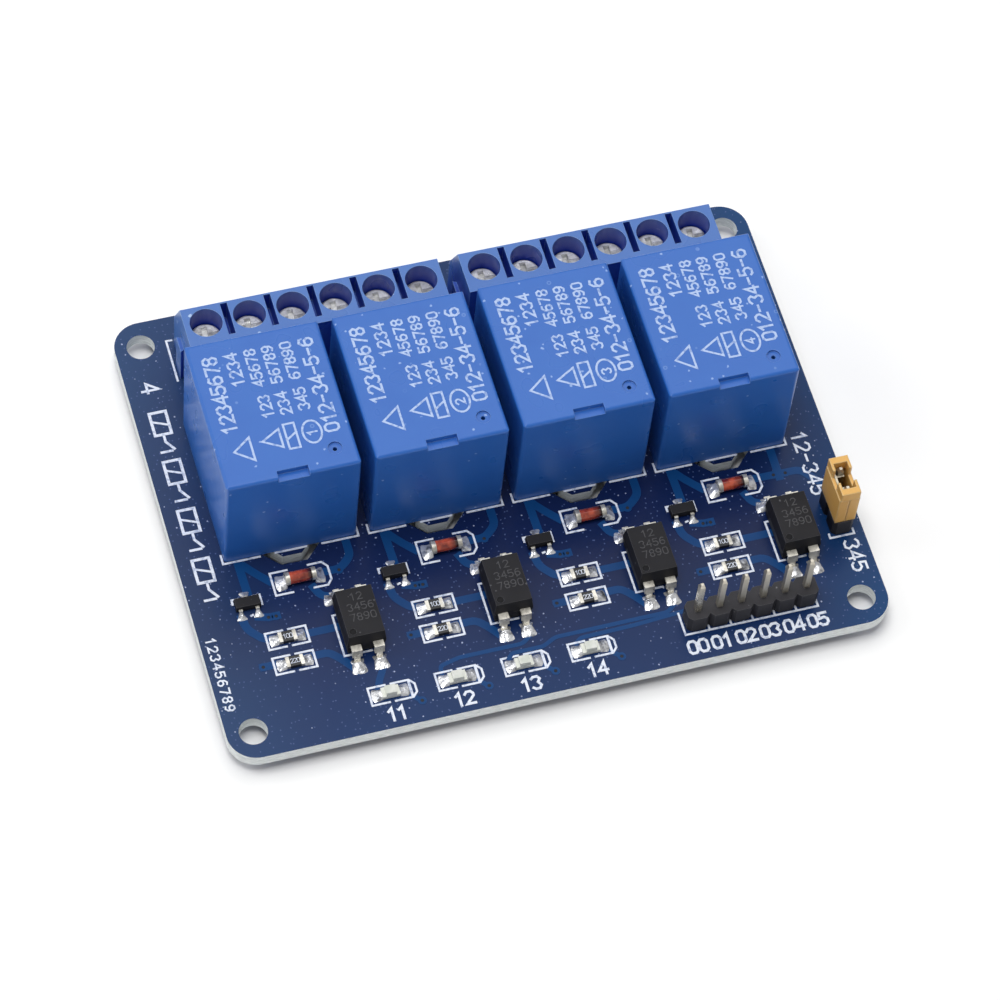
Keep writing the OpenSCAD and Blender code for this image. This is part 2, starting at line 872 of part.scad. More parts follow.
// Gull-wing lead: out of the body, down, and a flat foot on the board
module gull_wing(top, t, foot) {
    knee = foot * 0.35;
    polygon([
        [0, top - t / 2],
        [knee - t / 2, top - t / 2],
        [knee + t / 2, 0],
        [foot, 0],
        [foot, t],
        [knee + t * 1.5, t],
        [knee + t / 2, top + t / 2],
        [0, top + t / 2]
    ]);
}

module transistors() {
    color("black")
        for (x = channel_rows)
            translate([x - transistor_dx, transistor_y, board_t + transistor_lift])
                moulded_body(transistor_size[0], transistor_size[1], transistor_size[2]);
}

module transistor_leads() {
    lead_top = transistor_lift + transistor_size[2] / 2;
    color("silver")
        for (x = channel_rows)
            translate([x - transistor_dx, transistor_y, board_t]) {
                for (p = [-1, 1])
                    translate([p * transistor_pitch, -transistor_size[1] / 2, 0])
                        rotate([0, 0, 180])
                            transistor_lead(lead_top);
                translate([0, transistor_size[1] / 2, 0])
                    transistor_lead(lead_top);
            }
}

module transistor_lead(top) {
    along_x(transistor_lead_w)
        gull_wing(top, transistor_lead_t, transistor_foot);
}

module diodes() {
    color("firebrick")
        for (x = channel_rows)
            translate([x, diode_y, board_t + diode_d / 2])
                rotate([0, 90, 0])
                    cylinder(h = diode_l - 2 * diode_cap, d = diode_d - 0.1, center = true);
}

module diode_caps() {
    color("silver")
        for (x = channel_rows)
            for (side = [-1, 1])
                translate([x + side * (diode_l - diode_cap) / 2, diode_y, board_t + diode_d / 2])
                    rotate([0, 90, 0])
                        cylinder(h = diode_cap, d = diode_d, center = true);
}

module resistors() {
    color("dimgray")
        for (p = resistor_rows)
            translate([p[0], p[1], board_t + chip_t / 2])
                cube([chip_l - 2 * chip_cap, chip_w, chip_t], center = true);
}

module resistor_caps() {
    color("silver")
        for (p = resistor_rows)
            for (side = [-1, 1])
                translate([p[0] + side * (chip_l - chip_cap) / 2, p[1], board_t + chip_t / 2])
                    cube([chip_cap, chip_w, chip_t], center = true);
}

// Lamp chip: a thin carrier with plated ends
module lamps() {
    color("ivory")
        for (p = lamp_rows)
            translate([p[0], p[1], board_t + chip_t / 2])
                cube([chip_l, chip_w, chip_t], center = true);
}

module lamp_lenses() {
    lens_h = 0.5;
    color("white")
        for (p = lamp_rows)
            translate([p[0], p[1], board_t + chip_t])
                along_x(chip_l - 2 * chip_cap)
                    polygon([
                        [-chip_w / 2, 0],
                        [chip_w / 2, 0],
                        [chip_w / 2 - 0.12, lens_h],
                        [-chip_w / 2 + 0.12, lens_h]
                    ]);
}

// Solder on the board's top face: fillets at every chip end, cap and lead foot
module surface_solder() {
    foot_w = 0.35;
    color("silver")
        translate([0, 0, board_t]) {
            for (p = concat(resistor_rows, lamp_rows))
                translate([p[0], p[1], 0])
                    fillet_pair(chip_l, chip_w);
            for (x = channel_rows) {
                translate([x, diode_y, 0])
                    fillet_pair(diode_l, diode_d * 0.8);
                for (p = [-1, 1])
                    translate([x + opto_dx + p * opto_pitch / 2, opto_y, 0])
                        rotate([0, 0, 90])
                            fillet_pair(opto_l + 2 * opto_foot, opto_lead_w + foot_w);
                translate([x - transistor_dx, transistor_y, 0]) {
                    for (p = [-1, 1])
                        translate([p * transistor_pitch, 0, 0])
                            rotate([0, 0, -90])
                                foot_fillet();
                    rotate([0, 0, 90])
                        foot_fillet();
                }
            }
        }
}

module fillet_pair(l, w) {
    for (turn = [0, 180])
        rotate([0, 0, turn])
            translate([l / 2, 0, 0])
                end_fillet(w);
}

module foot_fillet() {
    translate([transistor_size[1] / 2 + transistor_foot, 0, 0])
        end_fillet(transistor_lead_w * 1.5);
}

// ---- headers and jumper ----

// One cell of a header's insulator
module header_cell() {
    c = header_chamfer;
    h = header_w / 2;
    linear_extrude(header_h)
        difference() {
            polygon([
                [-h + c, -h], [h - c, -h], [h, -h + c], [h, h - c],
                [h - c, h], [-h + c, h], [-h, h - c], [-h, -h + c]
            ]);
            square(pin_side, center = true);
        }
}

// Cells joined along X by a narrower core
module header_strip(count) {
    l = (count - 1) * header_pitch;
    for (i = [0:count - 1])
        translate([i * header_pitch - l / 2, 0, 0])
            header_cell();
    for (i = [1:count - 1])
        translate([(i - 0.5) * header_pitch - l / 2, 0, header_h / 2])
            cube([header_pitch - header_w + 2 * header_chamfer, header_w * 0.6, header_h], center = true);
}

module input_header() {
    color("black")
        translate([header_x, header_y, board_t])
            header_strip(input_pins);
}

module jumper_header() {
    color("black")
        translate([jumper_x, jumper_y, board_t])
            rotate([0, 0, 90])
                header_strip(jumper_pins);
}

// Square pin with a pointed tip, from its tail below the board to its tip
module header_pin() {
    point = 0.4;
    bottom = -board_t - tail_l;
    intersection() {
        along_x(pin_side)
            pin_profile(bottom, point);
        along_y(pin_side)
            pin_profile(bottom, point);
    }
}

module pin_profile(bottom, point) {
    half = pin_side / 2;
    polygon([
        [-half, bottom],
        [half, bottom],
        [half, pin_top - point],
        [half / 2, pin_top],
        [-half / 2, pin_top],
        [-half, pin_top - point]
    ]);
}

module header_pins() {
    color("gainsboro")
        for (p = header_rows)
            translate([p[0], p[1], board_t])
                header_pin();
}

// Cap with two thick rims, an open middle that shows the clip, and a seam down each end
module jumper_cap() {
    mouth_l = cap_l - 2 * rim_l + 2 * rim_cut;
    color("orange")
        translate([jumper_x, jumper_y, board_t + header_h])
            difference() {
                union() {
                    translate([0, 0, cap_body_h / 2])
                        cube([cap_w, cap_l - 2 * rim_step, cap_body_h], center = true);
                    for (side = [-1, 1])
                        translate([0, side * (cap_l - rim_l) / 2, (cap_body_h + cap_h) / 2])
                            cube([cap_w - 2 * rim_step, rim_l, cap_h - cap_body_h + eps], center = true);
                }
                translate([0, 0, cap_body_h / 2 - eps])
                    cube([cavity_w, cavity_l, cap_body_h], center = true);
                translate([0, 0, cap_h])
                    cube([cavity_w, mouth_l, cap_h], center = true);
                for (side = [-1, 1])
                    translate([0, side * (cap_l / 2 - rim_step), cap_body_h / 2])
                        cube([seam_w, 2 * seam_y, cap_body_h - 2 * rim_step], center = true);
            }
}

// Bent strip that joins the two pins: a side plate with a sleeve around each pin
module jumper_clip() {
    inner = pin_side + 2 * clip_gap;
    clip_h = cap_body_h - cap_wall;
    side_x = -cavity_w / 2 + clip_t / 2 + clip_gap;
    sleeve_x = inner / 2 - side_x;
    color("silver")
        translate([jumper_x, jumper_y, board_t + header_h + cap_wall]) {
            translate([side_x, 0, clip_h / 2])
                cube([clip_t, header_pitch + inner, clip_h], center = true);
            for (p = [-1, 1])
                for (side = [-1, 1])
                    translate([
                        side_x / 2 + inner / 4,
                        p * header_pitch / 2 + side * (inner + clip_t) / 2,
                        clip_h / 2
                    ])
                        cube([sleeve_x, clip_t, clip_h], center = true);
        }
}

// ---- nodes ----

pcb();
surface_solder();
through_hole_solder();
terminal_block(-1);  // terminal_block_left
terminal_block(1);  // terminal_block_right
clamp_frames();
terminal_screw(0);  // terminal_screw_1
terminal_screw(1);  // terminal_screw_2
terminal_screw(2);  // terminal_screw_3
terminal_screw(3);  // terminal_screw_4
terminal_screw(4);  // terminal_screw_5
terminal_screw(5);  // terminal_screw_6
terminal_screw(6);  // terminal_screw_7
terminal_screw(7);  // terminal_screw_8
terminal_screw(8);  // terminal_screw_9
terminal_screw(9);  // terminal_screw_10
terminal_screw(10);  // terminal_screw_11
terminal_screw(11);  // terminal_screw_12
pressure_plate(0);  // pressure_plate_1
pressure_plate(1);  // pressure_plate_2
pressure_plate(2);  // pressure_plate_3
pressure_plate(3);  // pressure_plate_4
pressure_plate(4);  // pressure_plate_5
pressure_plate(5);  // pressure_plate_6
pressure_plate(6);  // pressure_plate_7
pressure_plate(7);  // pressure_plate_8
pressure_plate(8);  // pressure_plate_9
pressure_plate(9);  // pressure_plate_10
pressure_plate(10);  // pressure_plate_11
pressure_plate(11);  // pressure_plate_12
relay_cover(0);  // relay_cover_1
relay_cover(1);  // relay_cover_2
relay_cover(2);  // relay_cover_3
relay_cover(3);  // relay_cover_4
relay_bases();
relay_yokes();
relay_bobbins();
relay_windings();
relay_contacts();
relay_armature(0);  // relay_armature_1
relay_armature(1);  // relay_armature_2
relay_armature(2);  // relay_armature_3
relay_armature(3);  // relay_armature_4
optocouplers();
optocoupler_leads();
transistors();
transistor_leads();
diodes();
diode_caps();
resistors();
resistor_caps();
lamps();
lamp_lenses();
input_header();
jumper_header();
header_pins();
jumper_cap();
jumper_clip();
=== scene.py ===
"""Looks of the relay module board, built over the CAD frame (metres, +Z up)."""

import itertools
import math
import random

import bmesh
import bpy
from mathutils import Matrix, Vector


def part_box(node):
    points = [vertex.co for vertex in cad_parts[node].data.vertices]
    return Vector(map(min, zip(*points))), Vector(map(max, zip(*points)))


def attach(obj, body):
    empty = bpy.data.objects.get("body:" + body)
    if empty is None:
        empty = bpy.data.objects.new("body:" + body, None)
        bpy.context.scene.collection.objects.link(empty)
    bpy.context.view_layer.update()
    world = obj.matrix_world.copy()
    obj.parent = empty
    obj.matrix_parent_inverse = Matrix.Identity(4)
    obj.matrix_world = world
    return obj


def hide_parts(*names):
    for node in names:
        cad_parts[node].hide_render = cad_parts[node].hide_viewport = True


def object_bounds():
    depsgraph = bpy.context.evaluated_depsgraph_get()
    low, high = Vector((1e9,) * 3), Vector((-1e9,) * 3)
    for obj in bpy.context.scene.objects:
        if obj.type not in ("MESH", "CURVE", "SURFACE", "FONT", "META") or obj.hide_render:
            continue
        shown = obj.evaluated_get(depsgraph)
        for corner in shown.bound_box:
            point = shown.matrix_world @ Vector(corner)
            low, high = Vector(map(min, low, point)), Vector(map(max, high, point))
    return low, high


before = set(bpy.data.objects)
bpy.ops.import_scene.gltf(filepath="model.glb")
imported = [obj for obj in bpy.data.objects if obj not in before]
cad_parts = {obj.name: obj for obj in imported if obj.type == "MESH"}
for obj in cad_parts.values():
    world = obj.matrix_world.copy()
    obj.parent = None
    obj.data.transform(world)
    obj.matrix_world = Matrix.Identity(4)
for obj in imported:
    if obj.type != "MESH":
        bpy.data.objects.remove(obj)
START_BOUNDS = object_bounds()

MM = 0.001
BOARD = "board"
PCB_LO, PCB_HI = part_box("pcb")
# the board's top face, where the resistors stand: heights are given above it
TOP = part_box("resistors")[0].z
RELAYS = (1, 2, 3, 4)


# ---------------------------------------------------------------- helpers
def rgb(r, g, b):
    """sRGB 0-255 to a linear colour."""
    out = []
    for c in (r, g, b):
        c = c / 255
        out.append(c / 12.92 if c <= 0.04045 else ((c + 0.055) / 1.055) ** 2.4)
    return (*out, 1)


def at(x, y, z=0.0):
    """A point on the board in mm from the frame's origin, z above the board's top face."""
    return Vector((x * MM, y * MM, TOP + z * MM))


def mesh_object(name, bm, material, body=BOARD, smooth=False):
    """Turns a bmesh into a named piece that rides on a body."""
    bmesh.ops.recalc_face_normals(bm, faces=bm.faces)
    me = bpy.data.meshes.new(name)
    bm.to_mesh(me)
    bm.free()
    if smooth:
        for p in me.polygons:
            p.use_smooth = True
    ob = bpy.data.objects.new(name, me)
    bpy.context.collection.objects.link(ob)
    me.materials.append(material)
    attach(ob, body)
    return ob


# strokes: how far each top steps from the last one's and climbs from point to point, in mm
LEVELS = itertools.cycle(range(9))
LEVEL_STEP = 0.0006
CLIMB = 0.0005
CLOSE = 1e-6
SHARPEST = 0.35     # limits how far a mitre reaches at a sharp corner


def stroke_sides(pts, closed, half):
    """The left and right edge points of a stroke: mitred at corners, squared off at ends."""
    n = len(pts)
    sides = []
    for i, p in enumerate(pts):
        before = pts[i - 1] if (i > 0 or closed) else None
        after = pts[(i + 1) % n] if (i < n - 1 or closed) else None
        d1 = (p - before).normalized() if before is not None else None
        d2 = (after - p).normalized() if after is not None else None
        d1 = d1 or d2
        d2 = d2 or d1
        tangent = d1 + d2
        tangent = tangent.normalized() if tangent.length > CLOSE else d1
        normal = Vector((-tangent.y, tangent.x))
        scale = half / max(SHARPEST, normal.dot(Vector((-d1.y, d1.x))))
        shift = Vector((0, 0))
        if before is None:
            shift = -d1 * half
        if after is None:
            shift = d2 * half
        sides.append((p + shift + normal * scale, p + shift - normal * scale))
    return sides


def ribbon(bm, pts, width, base, height):
    """A flat stroke, a thin solid: pts in mm, closed where the last point is the first.
    Its top climbs a hair from end to end, and starts a hair off the last stroke's, so that
    strokes that cross are never level."""
    height += next(LEVELS) * LEVEL_STEP
    pts = [Vector(p) for p in pts]
    closed = (pts[0] - pts[-1]).length < CLOSE
    if closed:
        pts.pop()
    cuts = []
    for i, (left, right) in enumerate(stroke_sides(pts, closed, width / 2)):
        top = base + height + i * CLIMB
        cuts.append([bm.verts.new(at(q.x, q.y, z)) for q, z in
                     ((left, base), (left, top), (right, top), (right, base))])
    pairs = list(zip(cuts, cuts[1:]))
    if closed:
        pairs.append((cuts[-1], cuts[0]))
    for a, b in pairs:
        for k in range(4):
            bm.faces.new((a[k], a[(k + 1) % 4], b[(k + 1) % 4], b[k]))
    if not closed:
        bm.faces.new(cuts[0])
        bm.faces.new(cuts[-1][::-1])


def disc(bm, x, y, r, base, height, sides=20):
    """A thin round pad in mm."""
    low, high = [], []
    for k in range(sides):
        a = math.tau * k / sides
        for level, z in ((low, base), (high, base + height)):
            level.append(bm.verts.new(at(x + r * math.cos(a), y + r * math.sin(a), z)))
    for k in range(sides):
        j = (k + 1) % sides
        bm.faces.new((low[k], low[j], high[j], high[k]))
    bm.faces.new(high)
    bm.faces.new(low[::-1])


ARC_STEPS = (0, 0.25, 0.5, 0.75, 1)


def rounded(pts, r):
    """The path with each inner corner cut by a short arc of about r."""
    pts = [Vector(p) for p in pts]
    out = [pts[0]]
    for a, b, c in zip(pts, pts[1:], pts[2:]):
        cut = min(r, (b - a).length / 2.2, (c - b).length / 2.2)
        p, q = b + (a - b).normalized() * cut, b + (c - b).normalized() * cut
        out += [p.lerp(b, t).lerp(b.lerp(q, t), t) for t in ARC_STEPS]
    return out + [pts[-1]]


# strokes of each sign, in a box 1 wide and 1.6 tall
SIGN_H = 1.6
DIGITS = {
    "0": [[(0, .3), (0, 1.3), (.25, 1.6), (.75, 1.6), (1, 1.3), (1, .3), (.75, 0), (.25, 0), (0, .3)]],
    "1": [[(.15, 1.25), (.55, 1.6), (.55, 0)]],
    "2": [[(0, 1.3), (.25, 1.6), (.75, 1.6), (1, 1.3), (1, 1), (0, 0), (1, 0)]],
    "3": [[(0, 1.4), (.25, 1.6), (.75, 1.6), (1, 1.25), (.7, .85), (1, .4), (.75, 0), (.25, 0), (0, .2)]],
    "4": [[(.8, 0), (.8, 1.6), (0, .5), (1.05, .5)]],
    "5": [[(.95, 1.6), (.1, 1.6), (.05, .9), (.65, 1), (1, .7), (1, .3), (.7, 0), (.2, 0), (0, .2)]],
    "6": [[(.9, 1.5), (.5, 1.6), (.1, 1.2), (0, .4), (.25, 0), (.75, 0), (1, .3), (1, .6), (.75, .9),
           (.25, .9), (0, .6)]],
    "7": [[(0, 1.6), (1, 1.6), (.4, 0)]],
    "8": [[(.25, .85), (0, 1.2), (.25, 1.6), (.75, 1.6), (1, 1.2), (.75, .85), (.25, .85)],
          [(.25, .85), (0, .4), (.25, 0), (.75, 0), (1, .4), (.75, .85), (.25, .85)]],
    "9": [[(.1, .1), (.5, 0), (.9, .4), (1, 1.2), (.75, 1.6), (.25, 1.6), (0, 1.3), (0, 1), (.25, .7),
           (.75, .7), (1, 1)]],
    "-": [[(.1, .8), (.9, .8)]],
    " ": [],
}


def write(bm, text, x, y, size, along=(1, 0), stroke=0.22, base=0.0, height=0.03, pitch=1.45):
    """Plain numbers in strokes from (x, y) in mm, size tall, reading along a direction."""
    d = Vector(along).normalized()
    up = Vector((-d.y, d.x))
    unit = size / SIGN_H
    for i, ch in enumerate(text):
        start = Vector((x, y)) + d * (i * unit * pitch)
        for line in DIGITS[ch]:
            ribbon(bm, [start + d * (px * unit) + up * (py * unit) for px, py in line],
                   stroke, base, height)


def middle(node):
    """The middle of a node's box."""
    lo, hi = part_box(node)
    return (lo + hi) / 2


# ---------------------------------------------------------------- places, in mm
RELAY_X = [middle(f"relay_cover_{i}").x / MM for i in RELAYS]
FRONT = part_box("relay_cover_1")[0].y / MM
RELAY_HALF = 7.6
RELAY_TOP = (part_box("relay_cover_1")[1].z - TOP) / MM
DIODE_Y = middle("diodes").y / MM
DIODE_PITCH = (RELAY_X[1] - RELAY_X[0]) * MM
# the parts of a channel, sideways from the middle of its relay
CHIP_DX = -3.25
OPTO_DX = 4.7
SOT_DX = -6.5
CHIP_HALF = 0.625
CHIP_ROWS = (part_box("resistors")[1].y / MM - CHIP_HALF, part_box("resistors")[0].y / MM + CHIP_HALF)
OPTO_Y = middle("optocouplers").y / MM
OPTO_TOP = (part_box("optocouplers")[1].z - TOP) / MM
OPTO_HALF = (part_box("optocouplers")[1] / MM - Vector((RELAY_X[3] + OPTO_DX, OPTO_Y, 0)))
PIN_PITCH = 2.54
LEAD_DX = PIN_PITCH / 2
SOT_Y = middle("transistors").y / MM
LAMP_HALF = 1.0
LAMP_Y = middle("lamps").y / MM
LAMP_X0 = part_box("lamps")[0].x / MM + LAMP_HALF
LAMP_PITCH = (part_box("lamps")[1].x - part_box("lamps")[0].x) / MM / 3 - 2 * LAMP_HALF / 3
LAMP_X = [LAMP_X0 + i * LAMP_PITCH for i in range(4)]
HEADER = middle("input_header") / MM
JUMPER = middle("jumper_header") / MM
BLOCK_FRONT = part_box("terminal_block_left")[0].y / MM
BLOCK_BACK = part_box("terminal_block_left")[1].y / MM
BLOCK_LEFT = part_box("terminal_block_left")[0].x / MM


# ---------------------------------------------------------------- materials
def material(name, roughness=0.5, metallic=0.0, ior=1.5):
    """A new material and its node tree, with the uniform values on the shader itself."""
    m = bpy.data.materials.new(name)
    m.use_nodes = True
    t = m.node_tree
    s = t.nodes["Principled BSDF"]
    s.inputs["Roughness"].default_value = roughness
    s.inputs["Metallic"].default_value = metallic
    s.inputs["IOR"].default_value = ior
    return m, t, s


def coords(t, scale=(1, 1, 1)):
    """Object coordinates, stretched along the axes, as a socket."""
    c = t.nodes.new("ShaderNodeTexCoord")
    m = t.nodes.new("ShaderNodeMapping")
    m.inputs["Scale"].default_value = scale
    t.links.new(c.outputs["Object"], m.inputs["Vector"])
    return m.outputs["Vector"]


def noise(t, where, scale, detail=4.0, rough=0.55):
    """A noise value from 0 to 1."""
    n = t.nodes.new("ShaderNodeTexNoise")
    n.inputs["Scale"].default_value = scale
    n.inputs["Detail"].default_value = detail
    n.inputs["Roughness"].default_value = rough
    t.links.new(where, n.inputs["Vector"])
    return n.outputs["Fac"]


def ramp(t, fac, stops):
    """A colour ramp: stops are (position, colour or grey value)."""
    r = t.nodes.new("ShaderNodeValToRGB")
    e = r.color_ramp.elements
    while len(e) < len(stops):
        e.new(0.5)
    for el, (pos, col) in zip(e, stops):
        el.position = pos
        el.color = col if isinstance(col, tuple) else (col, col, col, 1)
    t.links.new(fac, r.inputs["Fac"])
    return r.outputs["Color"]


def mix(t, fac, a, b):
    """Colour a turning into b: each argument is a value or a socket."""
    m = t.nodes.new("ShaderNodeMix")
    m.data_type = "RGBA"
    for socket, value in ((m.inputs[0], fac), (m.inputs[6], a), (m.inputs[7], b)):
        if isinstance(value, bpy.types.NodeSocket):
            t.links.new(value, socket)
        else:
            socket.default_value = value
    return m.outputs[2]


def bump(t, s, height, strength, distance):
    """Fine relief on shader s."""
    b = t.nodes.new("ShaderNodeBump")
    b.inputs["Strength"].default_value = strength
    b.inputs["Distance"].default_value = distance
    t.links.new(height, b.inputs["Height"])
    t.links.new(b.outputs["Normal"], s.inputs["Normal"])


def both(t, a, b):
    """Two masks multiplied: 1 where both are 1."""
    m = t.nodes.new("ShaderNodeMath")
    m.operation = "MULTIPLY"
    t.links.new(a, m.inputs[0])
    t.links.new(b, m.inputs[1])
    return m.outputs[0]


def specks(t, where, scale, size, floor=0.62, flat=False):
    """Small ragged dots of 1 on 0: the cores of sparse Voronoi cells. A lower floor gives more."""
    v = t.nodes.new("ShaderNodeTexVoronoi")
    v.voronoi_dimensions = "2D" if flat else "3D"
    v.inputs["Scale"].default_value = scale
    t.links.new(where, v.inputs["Vector"])
    ragged = ramp(t, noise(t, where, scale * 5, 2.0), [(0.3, 0.0), (0.7, 0.5)])
    reach = t.nodes.new("ShaderNodeMath")
    reach.operation = "MULTIPLY_ADD"
    t.links.new(ragged, reach.inputs[0])
    reach.inputs[1].default_value = size * 2
    t.links.new(v.outputs["Distance"], reach.inputs[2])
    near = ramp(t, reach.outputs[0], [(0.0, 1.0), (size * 1.3, 1.0), (size * 1.7, 0.0)])
    few = ramp(t, v.outputs["Color"], [(0.0, 0.0), (floor, 0.0), (floor + 0.04, 1.0)])
    return both(t, near, few)


def rings(t, where, scale):
    """Faint small rings, the marks of dried drops: 0.6 on each, 0 elsewhere."""
    v = t.nodes.new("ShaderNodeTexVoronoi")
    v.inputs["Scale"].default_value = scale
    t.links.new(where, v.inputs["Vector"])
    near = ramp(t, v.outputs["Distance"],
                [(0.05, 0.0), (0.075, 0.6), (0.10, 0.6), (0.125, 0.0)])
    few = ramp(t, v.outputs["Color"], [(0.0, 0.0), (0.45, 0.0), (0.5, 1.0)])
    return both(t, near, few)


def edge_mask(t, radius, low=0.02, high=0.2):
    """The bevel node, and 1 along sharp edges: its rounded normal against the face's own."""
    b = t.nodes.new("ShaderNodeBevel")
    b.samples = 6
    b.inputs["Radius"].default_value = radius
    g = t.nodes.new("ShaderNodeNewGeometry")
    d = t.nodes.new("ShaderNodeVectorMath")
    d.operation = "DOT_PRODUCT"
    t.links.new(b.outputs["Normal"], d.inputs[0])
    t.links.new(g.outputs["Normal"], d.inputs[1])
    return b, ramp(t, d.outputs["Value"], [(0.0, 1.0), (1 - high, 1.0), (1 - low, 0.0)])


def cavity(t, reach):
    """Painted shade: 1 deep in wells and slots, 0 in the open."""
    a = t.nodes.new("ShaderNodeAmbientOcclusion")
    a.samples = 6
    a.inputs["Distance"].default_value = reach
    return ramp(t, a.outputs["AO"], [(0.2, 1.0), (0.62, 0.0)])


def plastic(name, colour, dark, roughness=0.4, scale=900.0, speck=None, edge=None, shine=0.5,
            edge_r=0.00012, floor=0.62, cavity_shade=None, marks=None):
    """Moulded plastic: soft mottling, pale specks and rings, painted highlights along the edges and
    painted shade in the wells.
    """
    m, t, s = material(name, roughness)
    s.inputs["Specular IOR Level"].default_value = shine
    where = coords(t)
    soft = noise(t, where, 220.0, 3.0)
    col = mix(t, soft, colour, dark)
    if speck is not None:
        col = mix(t, specks(t, where, scale, 0.10, floor), col, speck)
    if marks is not None:
        col = mix(t, rings(t, where, 430.0), col, marks)
    # painted shade: wells and slots darken towards the given well colour
    if cavity_shade is not None:
        col = mix(t, cavity(t, 0.006), col, cavity_shade)
    b, highlight_rim = edge_mask(t, edge_r)
    # painted highlight: sharp edges lighten towards the given edge colour
    if edge is not None:
        col = mix(t, highlight_rim, col, edge)
    t.links.new(col, s.inputs["Base Color"])
    t.links.new(b.outputs["Normal"], s.inputs["Normal"])
    rough = ramp(t, noise(t, where, 260.0, 1.0), [(0.3, roughness * 0.88), (0.7, roughness * 1.12)])
    t.links.new(rough, s.inputs["Roughness"])
    return m


def metal(name, colour, dark, roughness=0.25, scale=1500.0, grain=0.3, stretch=(1, 1, 1),
          metallic=1.0, dent=0.00004):
    """Worn plated metal: blotchy tone, uneven gloss and small dents."""
    m, t, s = material(name, roughness, metallic)
    where = coords(t, stretch)
    tone = noise(t, where, scale, 5.0, 0.6)
    t.links.new(ramp(t, tone, [(0.3, dark), (0.65, colour)]), s.inputs["Base Color"])
    t.links.new(ramp(t, noise(t, where, scale * 0.6, 4.0),
                     [(0.3, roughness * 0.7), (0.7, roughness * 1.5)]), s.inputs["Roughness"])
    bump(t, s, tone, grain, dent)
    return m


MASK_SHINE = 0.2


def split(t, vector):
    """The x, y and z of a vector socket."""
    node = t.nodes.new("ShaderNodeSeparateXYZ")
    t.links.new(vector, node.inputs["Vector"])
    return node.outputs


def between(t, value, low, high):
    """0 at low to 1 at high."""
    node = t.nodes.new("ShaderNodeMapRange")
    node.inputs["From Min"].default_value = low
    node.inputs["From Max"].default_value = high
    t.links.new(value, node.inputs["Value"])
    return node.outputs["Result"]


def mask_colour(t, where):
    """Blue solder mask: bluer and lighter to the board's front and back edges, with painted light that
    makes it lighter at its left and right ends, clouded and dusty.
    """
    x, y, _ = split(t, where)
    depth = ramp(t, between(t, y, PCB_LO.y, PCB_HI.y),
                 [(0.0, rgb(26, 62, 110)), (0.25, rgb(10, 31, 75)), (0.5, rgb(8, 26, 70)),
                  (1.0, rgb(30, 66, 112))])
    # painted light: the mask is lighter at its left and right ends and darker between, half mixed into
    # its colour
    ends = ramp(t, between(t, x, PCB_LO.x, PCB_HI.x),
                [(0.0, rgb(50, 74, 110)), (0.16, rgb(24, 42, 86)), (0.5, rgb(8, 28, 72)),
                 (0.86, rgb(2, 25, 70)), (1.0, rgb(0, 66, 116))])
    base = mix(t, 0.5, depth, ends)
    cloud = noise(t, where, 90.0, 6.0, 0.6)
    mask = mix(t, ramp(t, cloud, [(0.4, 0.0), (0.75, 0.3)]), base, rgb(34, 44, 84))
    mask = mix(t, specks(t, where, 1500.0, 0.12, 0.6, True), mask, rgb(70, 88, 134))
    return mix(t, specks(t, where, 640.0, 0.05, 0.7, True), mask, rgb(164, 176, 208))


def board_material():
    """Blue solder mask on the faces, pale glass fibre on the cut edges, slots and holes."""
    m, t, s = material("board_mask", 0.26)
    s.inputs["Specular IOR Level"].default_value = MASK_SHINE
    where = coords(t)
    g = t.nodes.new("ShaderNodeNewGeometry")
    up = t.nodes.new("ShaderNodeMath")
    up.operation = "ABSOLUTE"
    t.links.new(split(t, g.outputs["Normal"])[2], up.inputs[0])
    face = ramp(t, up.outputs[0], [(0.0, 0.0), (0.45, 0.0), (0.6, 1.0)])
    fibre = ramp(t, noise(t, coords(t, (1, 1, 9)), 900.0, 6.0, 0.7),
                 [(0.32, rgb(188, 194, 194)), (0.6, rgb(240, 244, 244))])
    t.links.new(mix(t, face, fibre, mask_colour(t, where)), s.inputs["Base Color"])
    t.links.new(mix(t, face, (0.8, 0.8, 0.8, 1), (0.26, 0.26, 0.26, 1)), s.inputs["Roughness"])
    bump(t, s, noise(t, where, 1800.0, 3.0), 0.25, 0.00003)
    return m


# each diode darkens to its right end, between these distances from its middle, in m
SHADE_FROM, SHADE_TO = 0.0002, 0.0011


def glass_body(name, colour, dark, shade=None):
    """Tinted translucent glass or resin; shade is the colour of a diode's right end."""
    m, t, s = material(name, 0.1)
    where = coords(t)
    col = ramp(t, noise(t, where, 700.0, 3.0), [(0.38, dark), (0.6, colour)])
    if shade is not None:
        first = RELAY_X[0] * MM
        along = t.nodes.new("ShaderNodeMath")
        along.operation = "WRAP"
        along.inputs[1].default_value = first + DIODE_PITCH / 2
        along.inputs[2].default_value = first - DIODE_PITCH / 2
        t.links.new(split(t, where)[0], along.inputs[0])
        end = between(t, along.outputs[0], first + SHADE_FROM, first + SHADE_TO)
        col = mix(t, end, col, shade)
    t.links.new(col, s.inputs["Base Color"])
    s.inputs["Transmission Weight"].default_value = 0.3
    s.inputs["Coat Weight"].default_value = 1.0
    bump(t, s, noise(t, where, 2600.0, 2.0), 0.15, 0.00003)
    return m


def solder_material():
    """Bright, lumpy solder with dark streaks."""
    m, t, s = material("solder_bright", 0.24, 0.72)
    where = coords(t)
    tone = noise(t, where, 1100.0, 6.0, 0.65)
    t.links.new(ramp(t, tone, [(0.34, rgb(120, 122, 128)), (0.52, rgb(236, 237, 240))]),
                s.inputs["Base Color"])
    bump(t, s, noise(t, where, 1400.0, 3.0), 0.8, 0.00016)
    return m


def print_material(name, colour, dark):
    """Screen-printed ink with a little wear."""
    m, t, s = material(name, 0.55)
    where = coords(t)
    t.links.new(ramp(t, noise(t, where, 2200.0, 4.0), [(0.32, dark), (0.5, colour)]),
                s.inputs["Base Color"])
    return m


